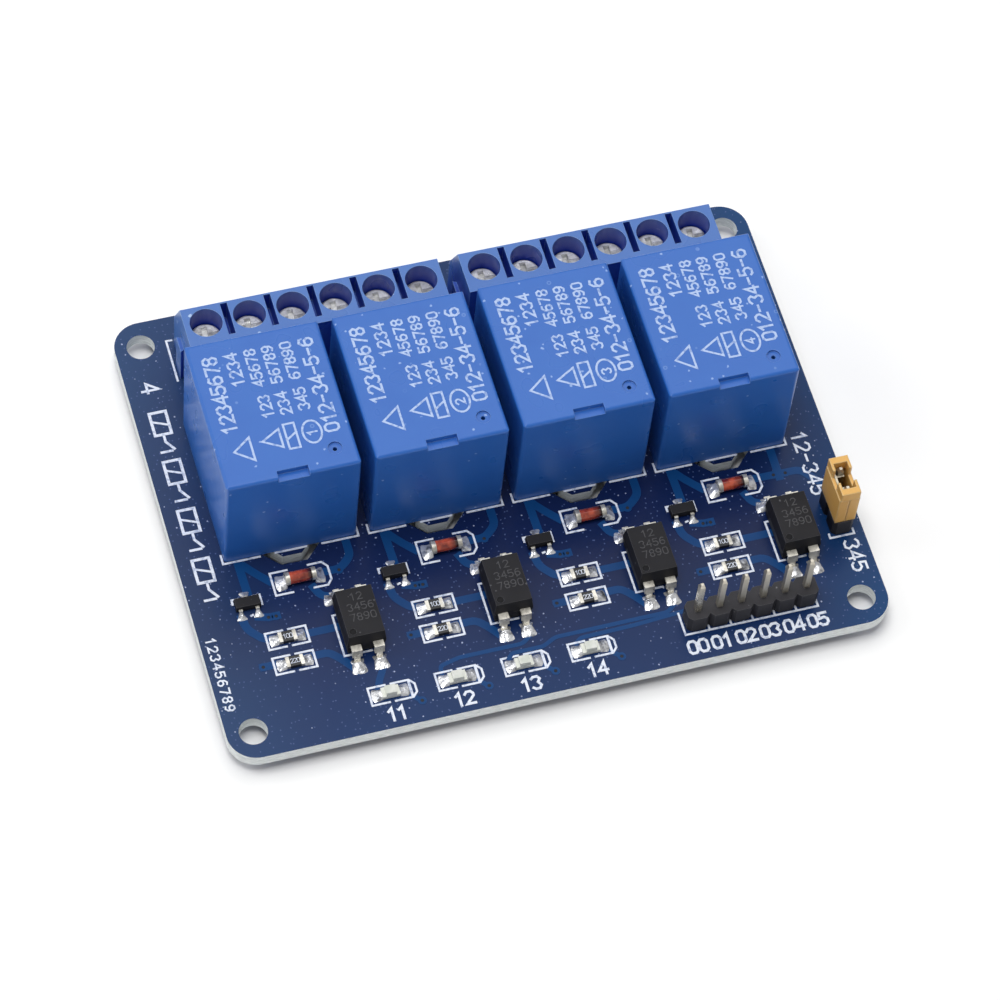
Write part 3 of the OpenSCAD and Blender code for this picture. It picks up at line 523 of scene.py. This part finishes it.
def trace_material():
    """Copper under the mask: the same blue, a little lighter and greener."""
    m, t, s = material("trace_mask", 0.36)
    where = coords(t)
    t.links.new(mix(t, noise(t, where, 260.0, 4.0), rgb(2, 56, 110), rgb(6, 66, 122)),
                s.inputs["Base Color"])
    s.inputs["Specular IOR Level"].default_value = MASK_SHINE
    bump(t, s, noise(t, where, 1800.0, 3.0), 0.2, 0.00003)
    return m


def plastics():
    """Moulded parts, each a colour that clouds into another."""
    # the lighter edge colours given below are painted highlights along the parts' sharp edges
    return {
        # the terminal blocks' dark well colour is painted shade in their wells and slots
        "terminal_plastic": plastic(
            "terminal_blue", rgb(74, 117, 186), rgb(62, 106, 178), roughness=0.3, scale=500.0,
            speck=rgb(170, 194, 228), edge=rgb(150, 186, 232), cavity_shade=rgb(32, 62, 172)),
        "relay_cover_plastic": plastic(
            "relay_blue", rgb(46, 106, 190), rgb(38, 96, 182), roughness=0.3, scale=700.0,
            speck=rgb(138, 168, 220), edge=rgb(112, 152, 216), floor=0.52,
            marks=rgb(112, 148, 208)),
        "relay_base_plastic": plastic(
            "relay_base", rgb(20, 40, 90), rgb(14, 30, 74), roughness=0.5),
        "bobbin_plastic": plastic("bobbin", rgb(38, 40, 44), rgb(26, 28, 30), roughness=0.5),
        "chip_plastic": plastic(
            "chip_black", rgb(34, 33, 37), rgb(22, 22, 25), roughness=0.6,
            speck=rgb(84, 84, 88), edge=rgb(84, 84, 88), shine=0.25, floor=0.56),
        "resistor_body": plastic(
            "resistor_black", rgb(40, 40, 40), rgb(24, 24, 25), roughness=0.35),
        "lamp_carrier": plastic(
            "lamp_carrier", rgb(234, 236, 228), rgb(214, 216, 206), roughness=0.5),
        # the header's dark well colour is painted shade in its pin holes
        "header_plastic": plastic(
            "header_black", rgb(60, 59, 63), rgb(40, 40, 44), roughness=0.55,
            speck=rgb(124, 124, 128), edge=rgb(96, 96, 100), shine=0.25, floor=0.54,
            cavity_shade=rgb(16, 15, 24)),
        "jumper_plastic": plastic(
            "jumper_amber", rgb(230, 180, 98), rgb(218, 164, 82), roughness=0.42, scale=700.0,
            speck=rgb(236, 206, 152), edge=rgb(240, 208, 150), edge_r=0.00028),
        "chip_dot": plastic(
            "chip_dot", rgb(20, 20, 23), rgb(12, 12, 15), roughness=0.6, shine=0.2),
        # painted shade: the near-black discs where the vias' holes are
        "via_hole_shade": plastic("via_hole_shade", rgb(16, 20, 34), rgb(8, 10, 18), roughness=0.6),
    }


def metals():
    """Plated, tinned and bare metal, each bright with darker blotches."""
    return {
        "plated_steel": metal(
            "plated_steel", rgb(255, 255, 253), rgb(178, 178, 176), roughness=0.24, scale=900.0,
            grain=1.0, metallic=0.25, dent=0.00016),
        "soft_iron": metal(
            "soft_iron", rgb(176, 178, 180), rgb(110, 112, 114), roughness=0.4),
        "copper_wire": metal(
            "copper_wire", rgb(200, 108, 60), rgb(126, 58, 30), roughness=0.35, scale=600.0,
            grain=0.6, stretch=(1, 8, 1)),
        "contact_metal": metal(
            "contact_metal", rgb(214, 206, 188), rgb(150, 140, 118), roughness=0.28),
        "tinned_leads": metal(
            "tinned_leads", rgb(238, 234, 222), rgb(172, 168, 158), roughness=0.28, scale=1100.0,
            grain=0.15, metallic=0.6),
        "pin_metal": metal(
            "pin_metal", rgb(204, 198, 184), rgb(180, 175, 162), roughness=0.32, scale=900.0,
            grain=0.03, stretch=(1, 1, 0.25), metallic=0.8),
        "solder": solder_material(),
    }


def glass_and_ink():
    """Diode glass, lamp resin, the three prints and the covered copper."""
    return {
        "diode_glass": glass_body(
            "diode_glass", rgb(236, 104, 68), rgb(130, 36, 24), shade=rgb(46, 16, 14)),
        "lamp_lens": glass_body("lamp_lens", rgb(248, 250, 243), rgb(226, 232, 220)),
        "print_white": print_material("print_white", rgb(226, 232, 244), rgb(170, 182, 208)),
        "print_relay": print_material("print_relay", rgb(176, 196, 232), rgb(120, 148, 204)),
        "print_faint": print_material("print_faint", rgb(62, 62, 65), rgb(42, 42, 45)),
        "trace": trace_material(),
    }


# ---------------------------------------------------------------- camera, light and floor
def camera():
    """The viewpoint, in mm from the origin, and the way it is turned."""
    place = Vector((-102.16, -250.06, 436.57)) * MM
    right = Vector((0.95853262, -0.27710717, 0.06653446))
    down = Vector((-0.20419198, -0.83067761, -0.51795786))
    ahead = Vector((0.19879852, 0.4828937, -0.85281465))
    turn = Matrix((right, -down, -ahead)).transposed()
    data = bpy.data.cameras.new("camera")
    data.sensor_width = 36
    data.lens = 163.446
    data.clip_start = 0.01
    data.clip_end = 20
    ob = bpy.data.objects.new("camera", data)
    ob.matrix_world = Matrix.Translation(place) @ turn.to_4x4()
    bpy.context.collection.objects.link(ob)
    bpy.context.scene.camera = ob


def lamp(name, place, size, power):
    """A soft box aimed at the board."""
    data = bpy.data.lights.new(name, "AREA")
    data.shape = "RECTANGLE"
    data.size, data.size_y = size
    data.energy = power
    ob = bpy.data.objects.new(name, data)
    ob.location = place
    ob.rotation_euler = (-Vector(place)).to_track_quat("-Z", "Y").to_euler()
    bpy.context.collection.objects.link(ob)


FLOOR_HALF = 1.5


def white_floor():
    """A plain white floor under the part's lowest point."""
    bm = bmesh.new()
    bmesh.ops.create_grid(bm, x_segments=1, y_segments=1, size=FLOOR_HALF)
    me = bpy.data.meshes.new("floor")
    bm.to_mesh(me)
    bm.free()
    ob = bpy.data.objects.new("floor", me)
    ob.location.z = START_BOUNDS[0].z
    bpy.context.collection.objects.link(ob)
    m, t, s = material("floor_white", 0.9)
    where = coords(t)
    t.links.new(ramp(t, noise(t, where, 30.0), [(0.0, rgb(250, 250, 250)), (1.0, rgb(255, 255, 255))]),
                s.inputs["Base Color"])
    s.inputs["Specular IOR Level"].default_value = 0.0
    me.materials.append(m)


WORLD_STRENGTH = 0.38


def world_light():
    """Even light all round, and white where the camera sees past the floor."""
    world = bpy.data.worlds.new("world")
    bpy.context.scene.world = world
    world.use_nodes = True
    wt = world.node_tree
    soft = wt.nodes["Background"]
    soft.inputs["Color"].default_value = (1, 1, 1, 1)
    soft.inputs["Strength"].default_value = WORLD_STRENGTH
    white = wt.nodes.new("ShaderNodeBackground")
    white.inputs["Strength"].default_value = 1.0
    white.inputs["Color"].default_value = (1, 1, 1, 1)
    path = wt.nodes.new("ShaderNodeLightPath")
    either = wt.nodes.new("ShaderNodeMixShader")
    wt.links.new(path.outputs["Is Camera Ray"], either.inputs["Fac"])
    wt.links.new(soft.outputs["Background"], either.inputs[1])
    wt.links.new(white.outputs["Background"], either.inputs[2])
    wt.links.new(either.outputs["Shader"], wt.nodes["World Output"].inputs["Surface"])


def studio():
    """The floor, the even light and soft boxes at the back, overhead and on the left."""
    white_floor()
    world_light()
    lamp("back_box", place=(0.2, 0.48, 0.85), size=(0.9, 0.6), power=2.1)
    lamp("top_box", place=(-0.15, -0.02, 1.0), size=(0.5, 0.4), power=5.2)
    lamp("left_box", place=(-0.7, 0.3, 0.6), size=(0.5, 0.5), power=1.6)


def view_transform():
    """Colours as they are, with no film curve."""
    sc = bpy.context.scene
    sc.view_settings.view_transform = "Standard"
    sc.view_settings.look = "None"


# ---------------------------------------------------------------- CAD nodes' finishes
NODE_SLOT = {
    "pcb": "board", "surface_solder": "solder", "through_hole_solder": "solder",
    "terminal_block_left": "terminal_plastic", "terminal_block_right": "terminal_plastic",
    "clamp_frames": "plated_steel", "terminal_screw": "plated_steel",
    "pressure_plate": "plated_steel", "relay_cover": "relay_cover_plastic",
    "relay_bases": "relay_base_plastic", "relay_yokes": "soft_iron",
    "relay_bobbins": "bobbin_plastic", "relay_windings": "copper_wire",
    "relay_contacts": "contact_metal", "relay_armature": "soft_iron",
    "optocouplers": "chip_plastic", "optocoupler_leads": "tinned_leads",
    "transistors": "chip_plastic", "transistor_leads": "tinned_leads",
    "diodes": "diode_glass", "diode_caps": "tinned_leads", "resistors": "resistor_body",
    "resistor_caps": "tinned_leads", "lamps": "lamp_carrier", "lamp_lenses": "lamp_lens",
    "input_header": "header_plastic", "jumper_header": "header_plastic",
    "header_pins": "pin_metal", "jumper_cap": "jumper_plastic", "jumper_clip": "contact_metal",
}


def dress_nodes(mats):
    """Gives each CAD node its finish."""
    for name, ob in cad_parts.items():
        key = name if name in NODE_SLOT else name.rsplit("_", 1)[0]
        ob.data.materials.clear()
        ob.data.materials.append(mats[NODE_SLOT[key]])


# ---------------------------------------------------------------- printed outlines
SILK_W = 0.24
SILK_Z = 0.03
GAP = 0.35          # half the gap in an outline above and below a part
LABEL_PITCH = 2.8


def silk(bm, line, width=SILK_W):
    """One printed stroke on the board."""
    ribbon(bm, line, width, 0, SILK_Z)


def bracket(x, y, side, reach, half):
    """A square bracket round one end of the part at (x, y)."""
    return [(x + side * GAP, y + half), (x + side * reach, y + half),
            (x + side * reach, y - half), (x + side * GAP, y - half)]


def diode_silk(x):
    """Both halves of a diode's outline, the right one with cut corners."""
    y = DIODE_Y
    return [
        [(x - 1.15, y + 1.5), (x - 3.1, y + 1.5), (x - 3.1, y - 1.4), (x - 1.15, y - 1.4)],
        [(x + 1.3, y + 1.6), (x + 2.85, y + 1.6), (x + 3.4, y + 0.95), (x + 3.4, y - 0.75),
         (x + 2.85, y - 1.4), (x + 1.3, y - 1.4)],
    ]


def resistor_silk(x):
    """Brackets round both ends of a channel's two resistors."""
    return [bracket(x + CHIP_DX, row, side, 2.3, 1.05) for row in CHIP_ROWS for side in (-1, 1)]


def transistor_silk(x):
    """Corners behind a transistor and a dot in front."""
    x, y = x + SOT_DX, SOT_Y
    return [
        [(x - 1.55, y + 0.5), (x - 1.55, y + 1.05), (x - 0.8, y + 1.05)],
        [(x + 0.85, y + 1.05), (x + 1.65, y + 1.05), (x + 1.65, y - 0.2)],
        [(x + 0.1, y - 1.35), (x + 0.3, y - 1.3)],
    ]


def optocoupler_silk(x):
    """The outline left of an optocoupler and the piece between its front leads."""
    x, y = x + OPTO_DX, OPTO_Y
    return [
        [(x - 1.7, y + 2.05), (x - 2.45, y + 2.05), (x - 2.45, y - 3.2), (x - 1.75, y - 3.2)],
        [(x - 0.65, y - 3.2), (x + 0.65, y - 3.2)],
    ]


def relay_silk(x):
    """The corners in front of a relay and the piece of outline inside its slot."""
    y = FRONT - 0.2
    out = RELAY_HALF + 0.18
    corners = [[(x + side * out, y + 1.1), (x + side * out, y), (x + side * 3.6, y)]
               for side in (-1, 1)]
    return corners + [[(x - 1.75, y + 0.05), (x + 1.75, y + 0.05)]]


def channel_silk(bm, x):
    """All outlines of one channel."""
    for line in (diode_silk(x) + resistor_silk(x) + transistor_silk(x) + optocoupler_silk(x)
                 + relay_silk(x)):
        silk(bm, line)


def lamp_silk(bm, x, number):
    """A lamp's outline, with a bar and cut corners at the right, and its plain number."""
    y = LAMP_Y
    silk(bm, bracket(x, y, -1, 2.3, 1.1))
    silk(bm, [(x + GAP, y + 1.1), (x + 2.35, y + 1.1), (x + 2.9, y + 0.5), (x + 2.9, y - 0.5),
              (x + 2.35, y - 1.1), (x + GAP, y - 1.1)])
    silk(bm, [(x + 2.3, y + 0.9), (x + 2.3, y - 0.9)], width=0.3)
    write(bm, f"1{number}", x - 0.95, y - 3.4, 1.5, stroke=0.3, pitch=1.25)


def header_silk(bm):
    """The box round the input pins, its ticks between them, and a plain label for each."""
    x0, x1 = HEADER.x - 7.9, HEADER.x + 7.6
    y0, y1 = HEADER.y - 1.5, HEADER.y + 1.3
    silk(bm, [(x0, y1), (x0, y0), (x1, y0), (x1, y0 + 1)])
    for i in range(1, 6):
        x = HEADER.x + (i - 3) * PIN_PITCH
        silk(bm, [(x, y0), (x, y0 + 0.6)])
    for i in range(6):
        x = HEADER.x + (i - 2.5) * LABEL_PITCH - 1.05
        write(bm, f"0{i}", x, HEADER.y - 3.95, 1.5, stroke=0.32, pitch=1.32)


def jumper_silk(bm):
    """The outline in front of the jumper and the plain labels at its ends."""
    x, y = JUMPER.x, JUMPER.y
    silk(bm, [(x - 1.5, y - 2.3), (x - 1.5, y - 2.8), (x + 1.35, y - 2.8), (x + 1.35, y - 2.2)])
    write(bm, "12-345", x - 1.6, y + 11.4, 1.6, along=(0, -1), stroke=0.26)
    write(bm, "345", x - 0.2, y - 3.6, 1.6, along=(0, -1), stroke=0.26)


def title_silk(bm):
    """Where the board's name stood: a 4, four plain coil-and-contact signs and a number."""
    x = PCB_LO.x / MM + 1.75
    back = PCB_HI.y / MM
    write(bm, "4", x, back - 8.3, 1.9, along=(0, -1), stroke=0.3)
    for i in range(4):
        y = back - 12.3 - i * 6.6
        silk(bm, [(x, y), (x + 1.9, y), (x + 1.9, y - 3), (x, y - 3), (x, y)], 0.34)
        silk(bm, [(x, y - 1.1), (x + 1.9, y - 1.9)], 0.26)
        silk(bm, [(x + 0.95, y - 3.1), (x + 0.95, y - 4), (x + 1.7, y - 5.1)], 0.3)
        silk(bm, [(x + 0.2, y - 5.3), (x + 1.4, y - 5.3)], 0.3)
    write(bm, "123456789", x - 1, back - 42.2, 1.0, along=(0, -1), stroke=0.19, pitch=1.72)


def silkscreen():
    """All the white print on the board, as one piece."""
    bm = bmesh.new()
    for x in RELAY_X:
        channel_silk(bm, x)
    for i, x in enumerate(LAMP_X):
        lamp_silk(bm, x, i + 1)
    header_silk(bm)
    jumper_silk(bm)
    title_silk(bm)
    left, back = BLOCK_LEFT - 0.35, BLOCK_BACK + 0.5
    silk(bm, [(left + 0.6, back), (left, back), (left, BLOCK_FRONT + 2.6)])
    mesh_object("silkscreen", bm, MATS["print_white"])


# ---------------------------------------------------------------- copper under the mask
TRACE_Z = 0.018
RING_R, RING_Z = 0.5, TRACE_Z + 0.014
HOLE_R, HOLE_Z = 0.2, TRACE_Z + 0.018


def track(bm, line, width, bend):
    """One covered track with rounded corners."""
    ribbon(bm, rounded(line, bend), width, 0, TRACE_Z)


def ring(bm, x, y):
    """The copper round a via; its hole is a dark disc of painted shade on top."""
    disc(bm, x, y, RING_R, 0, RING_Z, 18)


def channel_tracks(x, last):
    """One channel's tracks, from its relay to its input; the last channel's differ."""
    first_row, second_row = CHIP_ROWS
    tracks = [
        [(x - 6.2, FRONT + 0.4), (x - 6.1, DIODE_Y - 0.5)],
        [(x - 5.9, FRONT - 0.6), (x - 4.9, FRONT - 1.9), (x - 3.4, DIODE_Y + 0.6)],
        [(x - 7.5, SOT_Y - 1.4), (x - 7.3, SOT_Y - 2.9), (x - 5.9, first_row + 0.5),
         (x - 4.6, first_row + 0.2)],
        [(x - 5.6, SOT_Y - 1.7), (x - 4.6, SOT_Y - 2), (x - 3.7, SOT_Y - 2)],
        [(x - 1.7, first_row), (x + 2.6, first_row)],
        [(x - 1.7, second_row + 0.3), (x + 0.7, second_row + 0.35), (x + 2, second_row - 1),
         (x + 3.2, second_row - 2.6)],
        [(x - 6.7, second_row + 0.25), (x - 4.8, second_row + 0.25)],
        [(x + 1.2, DIODE_Y - 1.35), (x + 1.7, DIODE_Y - 2.55), (x + 3.2, DIODE_Y - 3.05)],
    ]
    if last:
        return tracks + [
            [(x + 2.6, DIODE_Y + 0.4), (x + 8.2, DIODE_Y + 0.35), (x + 10.2, DIODE_Y - 2.05),
             (x + 10.2, DIODE_Y - 3.65)],
            [(x + 5.8, FRONT + 0.4), (x + 5.7, DIODE_Y)],
        ]
    return tracks + [[(x + 2.6, DIODE_Y + 0.3), (x + 4.7, DIODE_Y + 0.3), (x + 6.2, DIODE_Y + 1.65),
                      (x + 6.2, FRONT + 0.4)]]


def channel_vias(x, last):
    """Where one channel's vias are."""
    places = [(x - 4.6, SOT_Y - 2), (x - 3.75, SOT_Y - 2.05), (x - 6.75, CHIP_ROWS[1] + 0.25)]
    if last:
        return places + [(x + 5.1, DIODE_Y + 0.35), (x + 6.5, DIODE_Y + 0.3)]
    return places + [(x + 4.5, DIODE_Y + 0.15)]


def lamp_via(x):
    """Where the via of the lamp at x is."""
    return x + 3.15, LAMP_Y - 1.75


def input_tracks(bm):
    """Tracks from the optocouplers and the header to the lamps, and on to the lamps' vias."""
    lamps, y = LAMP_X, LAMP_Y
    pads = [(x + OPTO_DX + LEAD_DX, OPTO_Y - 5.65) for x in RELAY_X]
    thin = [
        [pads[1], (pads[1][0] - 1, y + 2.45), (lamps[1] + 0.9, y + 2.45), (lamps[1] - 1.4, y + 1.9),
         (lamps[1] - 1.5, y + 1)],
        [pads[2], (pads[2][0] - 1, y + 2.4), (lamps[2] + 4.26, y + 2.35), (lamps[2] + 2.76, y + 1.55),
         (lamps[2] - 0.9, y + 1.55), (lamps[2] - 1.4, y + 1)],
        [(HEADER.x - 6.9, y + 2.1), (HEADER.x - 13.3, y + 1.7), (lamps[3] - 0.6, y + 1.6),
         (lamps[3] - 1.3, y + 1)],
    ]
    for line in thin:
        track(bm, line, 0.5, 0.5)
    track(bm, [pads[0], (lamps[0] - 0.8, y + 1.7), (lamps[0] - 1, y + 1)], 0.8, 0.5)
    for x in lamps:
        ribbon(bm, [(x + 2.2, y - 0.9), lamp_via(x)], 0.6, 0, TRACE_Z)
        ring(bm, *lamp_via(x))


def copper():
    """The covered tracks as one piece, and dark discs of painted shade for the via holes as another."""
    bm = bmesh.new()
    holes = [lamp_via(x) for x in LAMP_X]
    for i, x in enumerate(RELAY_X):
        last = i == len(RELAY_X) - 1
        for line in channel_tracks(x, last):
            track(bm, line, 0.95, 0.7)
        for place in channel_vias(x, last):
            ring(bm, *place)
        holes += channel_vias(x, last)
    input_tracks(bm)
    mesh_object("tracks", bm, MATS["trace"])
    # painted shade: a dark disc on each via stands for its hole
    bm = bmesh.new()
    for x, y in holes:
        disc(bm, x, y, HOLE_R, 0, HOLE_Z, 14)
    mesh_object("via_hole_shade_discs", bm, MATS["via_hole_shade"])


# ---------------------------------------------------------------- solder
# each kind of joint: its length, width and height at the part, in mm
DIODE_JOINT = (1.2, 2.0, 0.62)
CHIP_JOINT = (1.1, 1.5, 0.36)
LAMP_JOINT = (1.15, 1.6, 0.36)
SOT_JOINT = (1.0, 1.2, 0.5)
OPTO_FRONT_JOINT = (1.25, 1.75, 0.42)
OPTO_BACK_JOINT = (0.5, 1.75, 0.42)
OPTO_HEEL_JOINT = (0.7, 1.6, 0.3)
CURL_JOINT = (1.1, 1.5, 0.75)
ALONG, ACROSS = 10, 11      # points of each joint's grid
SUNK = -0.01


def joint_height(t, s, height, sag, lump):
    """Solder height at t from the part (0) to the pad's edge (1) and s across it (-1 to 1)."""
    if t == 1 or abs(s) == 1:
        return 0.0
    h = height * (1 - t) ** sag + 0.10 * (1 - t ** 6)
    h += lump[0] * math.sin(3.1 * t + 4 * lump[1]) * math.cos(2.5 * s + 9 * lump[2])
    h += lump[3] * math.exp(-((t - 0.6) ** 2 + (s - 0.3) ** 2) / 0.06)
    return max(0.0, h * (1 - abs(s) ** 4) ** 0.7)


def solder_joint(bm, rng, x, y, along, size, flare=0.85):
    """A wetted fillet: high and steep at the part, concave, then thin to a square pad edge.
    flare is its width at the part, as a share of its width at the pad's edge."""
    length, width, height = size
    d = Vector(along).normalized()
    side = Vector((-d.y, d.x))
    sag = rng.uniform(1.7, 2.6)
    lump = [rng.uniform(0.0, 0.10) for _ in range(4)]
    grid = []
    for i in range(ALONG):
        t = i / (ALONG - 1)
        half = width / 2 * math.sqrt(max(0.3, 1 - max(0.0, (t - 0.8) / 0.24) ** 2))
        half *= flare + (1 - flare) * min(1.0, t * 1.25)
        row = []
        for j in range(ACROSS):
            s = 2 * j / (ACROSS - 1) - 1
            p = Vector((x, y)) + d * (t * length) + side * (s * half)
            row.append(bm.verts.new(at(p.x, p.y, joint_height(t, s, height, sag, lump))))
        grid.append(row)
    for a, b in zip(grid, grid[1:]):
        for j in range(ACROSS - 1):
            bm.faces.new((a[j], a[j + 1], b[j + 1], b[j]))
    low = [[bm.verts.new(at(v.co.x / MM, v.co.y / MM, SUNK)) for v in (grid[0][j], grid[-1][j])]
           for j in range(ACROSS)]
    for j in range(ACROSS - 1):
        bm.faces.new((low[j][0], low[j][1], low[j + 1][1], low[j + 1][0]))
        bm.faces.new((grid[0][j], low[j][0], low[j + 1][0], grid[0][j + 1]))


def channel_solder(bm, rng, x):
    """The joints of one channel's parts; the last is a lump at the optocoupler's back lead."""
    for side in (-1, 1):
        solder_joint(bm, rng, x + side * 1.62, DIODE_Y, (side, 0), DIODE_JOINT)
        for row in CHIP_ROWS:
            solder_joint(bm, rng, x + CHIP_DX + side * 0.97, row, (side, 0), CHIP_JOINT)
        lead = x + OPTO_DX + side * LEAD_DX
        for end, toe in ((-1, OPTO_FRONT_JOINT), (1, OPTO_BACK_JOINT)):
            solder_joint(bm, rng, lead, OPTO_Y + end * 4.55, (0, end), toe, 0.8)
            solder_joint(bm, rng, lead, OPTO_Y + end * 4.6, (0, -end), OPTO_HEEL_JOINT, 0.8)
        solder_joint(bm, rng, x + SOT_DX + side * 0.95, SOT_Y - 0.8, (0, -1), SOT_JOINT, 0.35)
    solder_joint(bm, rng, x + SOT_DX, SOT_Y + 0.8, (0, 1), SOT_JOINT, 0.35)
    solder_joint(bm, rng, x + OPTO_DX - 1.75, OPTO_Y + 3.95, (-1, 0.15), CURL_JOINT, 0.8)


def solder():
    """Every joint on the board's top face; stands for the CAD's plain fillets."""
    rng = random.Random(7)
    bm = bmesh.new()
    for x in RELAY_X:
        channel_solder(bm, rng, x)
    for x in LAMP_X:
        for side in (-1, 1):
            solder_joint(bm, rng, x + side * 0.97, LAMP_Y, (side, 0), LAMP_JOINT)
    ob = mesh_object("solder_joints", bm, MATS["solder"], smooth=True)
    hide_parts("surface_solder")


# ---------------------------------------------------------------- marks on the parts
PRINT_Z = 0.012
PRINT_END = 17.2        # how far behind the relay's front its lines of text end
# a relay's lines of text: start from its left side and front, height and stroke, in mm
PRINT_LINES = [
    ("12345678", 3.0, 6.9, 1.5, 0.27),
    ("1234", 5.3, 12.6, 1.25, 0.24),
    ("123 45678", 7.4, 7.9, 1.15, 0.22),
    ("234 56789", 9.4, 7.9, 1.15, 0.22),
    ("345 67890", 11.45, 8.0, 1.15, 0.22),
    ("012-34-5-6", 13.9, 4.6, 1.5, 0.27),
]
# two triangles, a box and a bar across it
PRINT_SIGNS = [
    [(2.0, 4.4), (4.0, 5.9), (4.0, 2.9), (2.0, 4.4)],
    [(5.3, 5.0), (7.4, 6.2), (7.4, 3.8), (5.3, 5.0)],
    [(8.0, 3.4), (9.2, 3.4), (9.2, 6.6), (8.0, 6.6), (8.0, 3.4)],
    [(8.0, 4.6), (9.2, 5.4)],
]
CHIP_TOP = 0.5


def oval(x, y, rx, ry, sides=24):
    """A closed ring of points."""
    turns = [math.tau * k / sides for k in range(sides)]
    pts = [(x + rx * math.cos(a), y + ry * math.sin(a)) for a in turns]
    return pts + pts[:1]


def relay_print():
    """Plain numbers and shapes in the columns where the relays were printed."""
    for i, x in zip(RELAYS, RELAY_X):
        bm = bmesh.new()
        left = x - RELAY_HALF
        for text, u, v, size, stroke in PRINT_LINES:
            pitch = (PRINT_END - v) / len(text) * SIGN_H / size
            write(bm, text, left + u, FRONT + v, size, (0, 1), stroke, RELAY_TOP, PRINT_Z, pitch)
        for line in PRINT_SIGNS + [oval(10.9, 5.0, 1.05, 1.45)]:
            ribbon(bm, [(left + u, FRONT + v) for u, v in line], SILK_W, RELAY_TOP, PRINT_Z)
        write(bm, str(i), left + 11.4, FRONT + 4.6, 1.0, (0, 1), 0.2, RELAY_TOP, PRINT_Z)
        mesh_object(f"relay_print_{i}", bm, MATS["print_relay"])


def resistor_print():
    """Pale digits on the resistors."""
    bm = bmesh.new()
    for x in RELAY_X:
        for row, text in zip(CHIP_ROWS, ("100", "220")):
            write(bm, text, x + CHIP_DX - 0.5, row - 0.26, 0.52, stroke=0.065, base=CHIP_TOP,
                  height=0.006, pitch=1.12)
    mesh_object("resistor_print", bm, MATS["print_white"])


def optocoupler_print():
    """Three lines of faint digits on each optocoupler."""
    bm = bmesh.new()
    for x in RELAY_X:
        for k, text in enumerate(("12", "3456", "7890")):
            write(bm, text, x + OPTO_DX - 0.3 * len(text), OPTO_Y + 1.5 - k * 1.3, 0.85, stroke=0.1,
                  base=OPTO_TOP, height=0.006)
    mesh_object("optocoupler_print", bm, MATS["print_faint"])


def optocoupler_dots():
    """The round mark in each optocoupler's front left corner."""
    bm = bmesh.new()
    for x in RELAY_X:
        disc(bm, x + OPTO_DX - OPTO_HALF.x + 0.85, OPTO_Y - OPTO_HALF.y + 0.85, 0.36,
             OPTO_TOP - 0.1, PRINT_Z)
    mesh_object("optocoupler_dots", bm, MATS["chip_dot"])


MATS = {"board": board_material(), **plastics(), **metals(), **glass_and_ink()}
dress_nodes(MATS)
silkscreen()
copper()
solder()
relay_print()
resistor_print()
optocoupler_print()
optocoupler_dots()
studio()
view_transform()
camera()
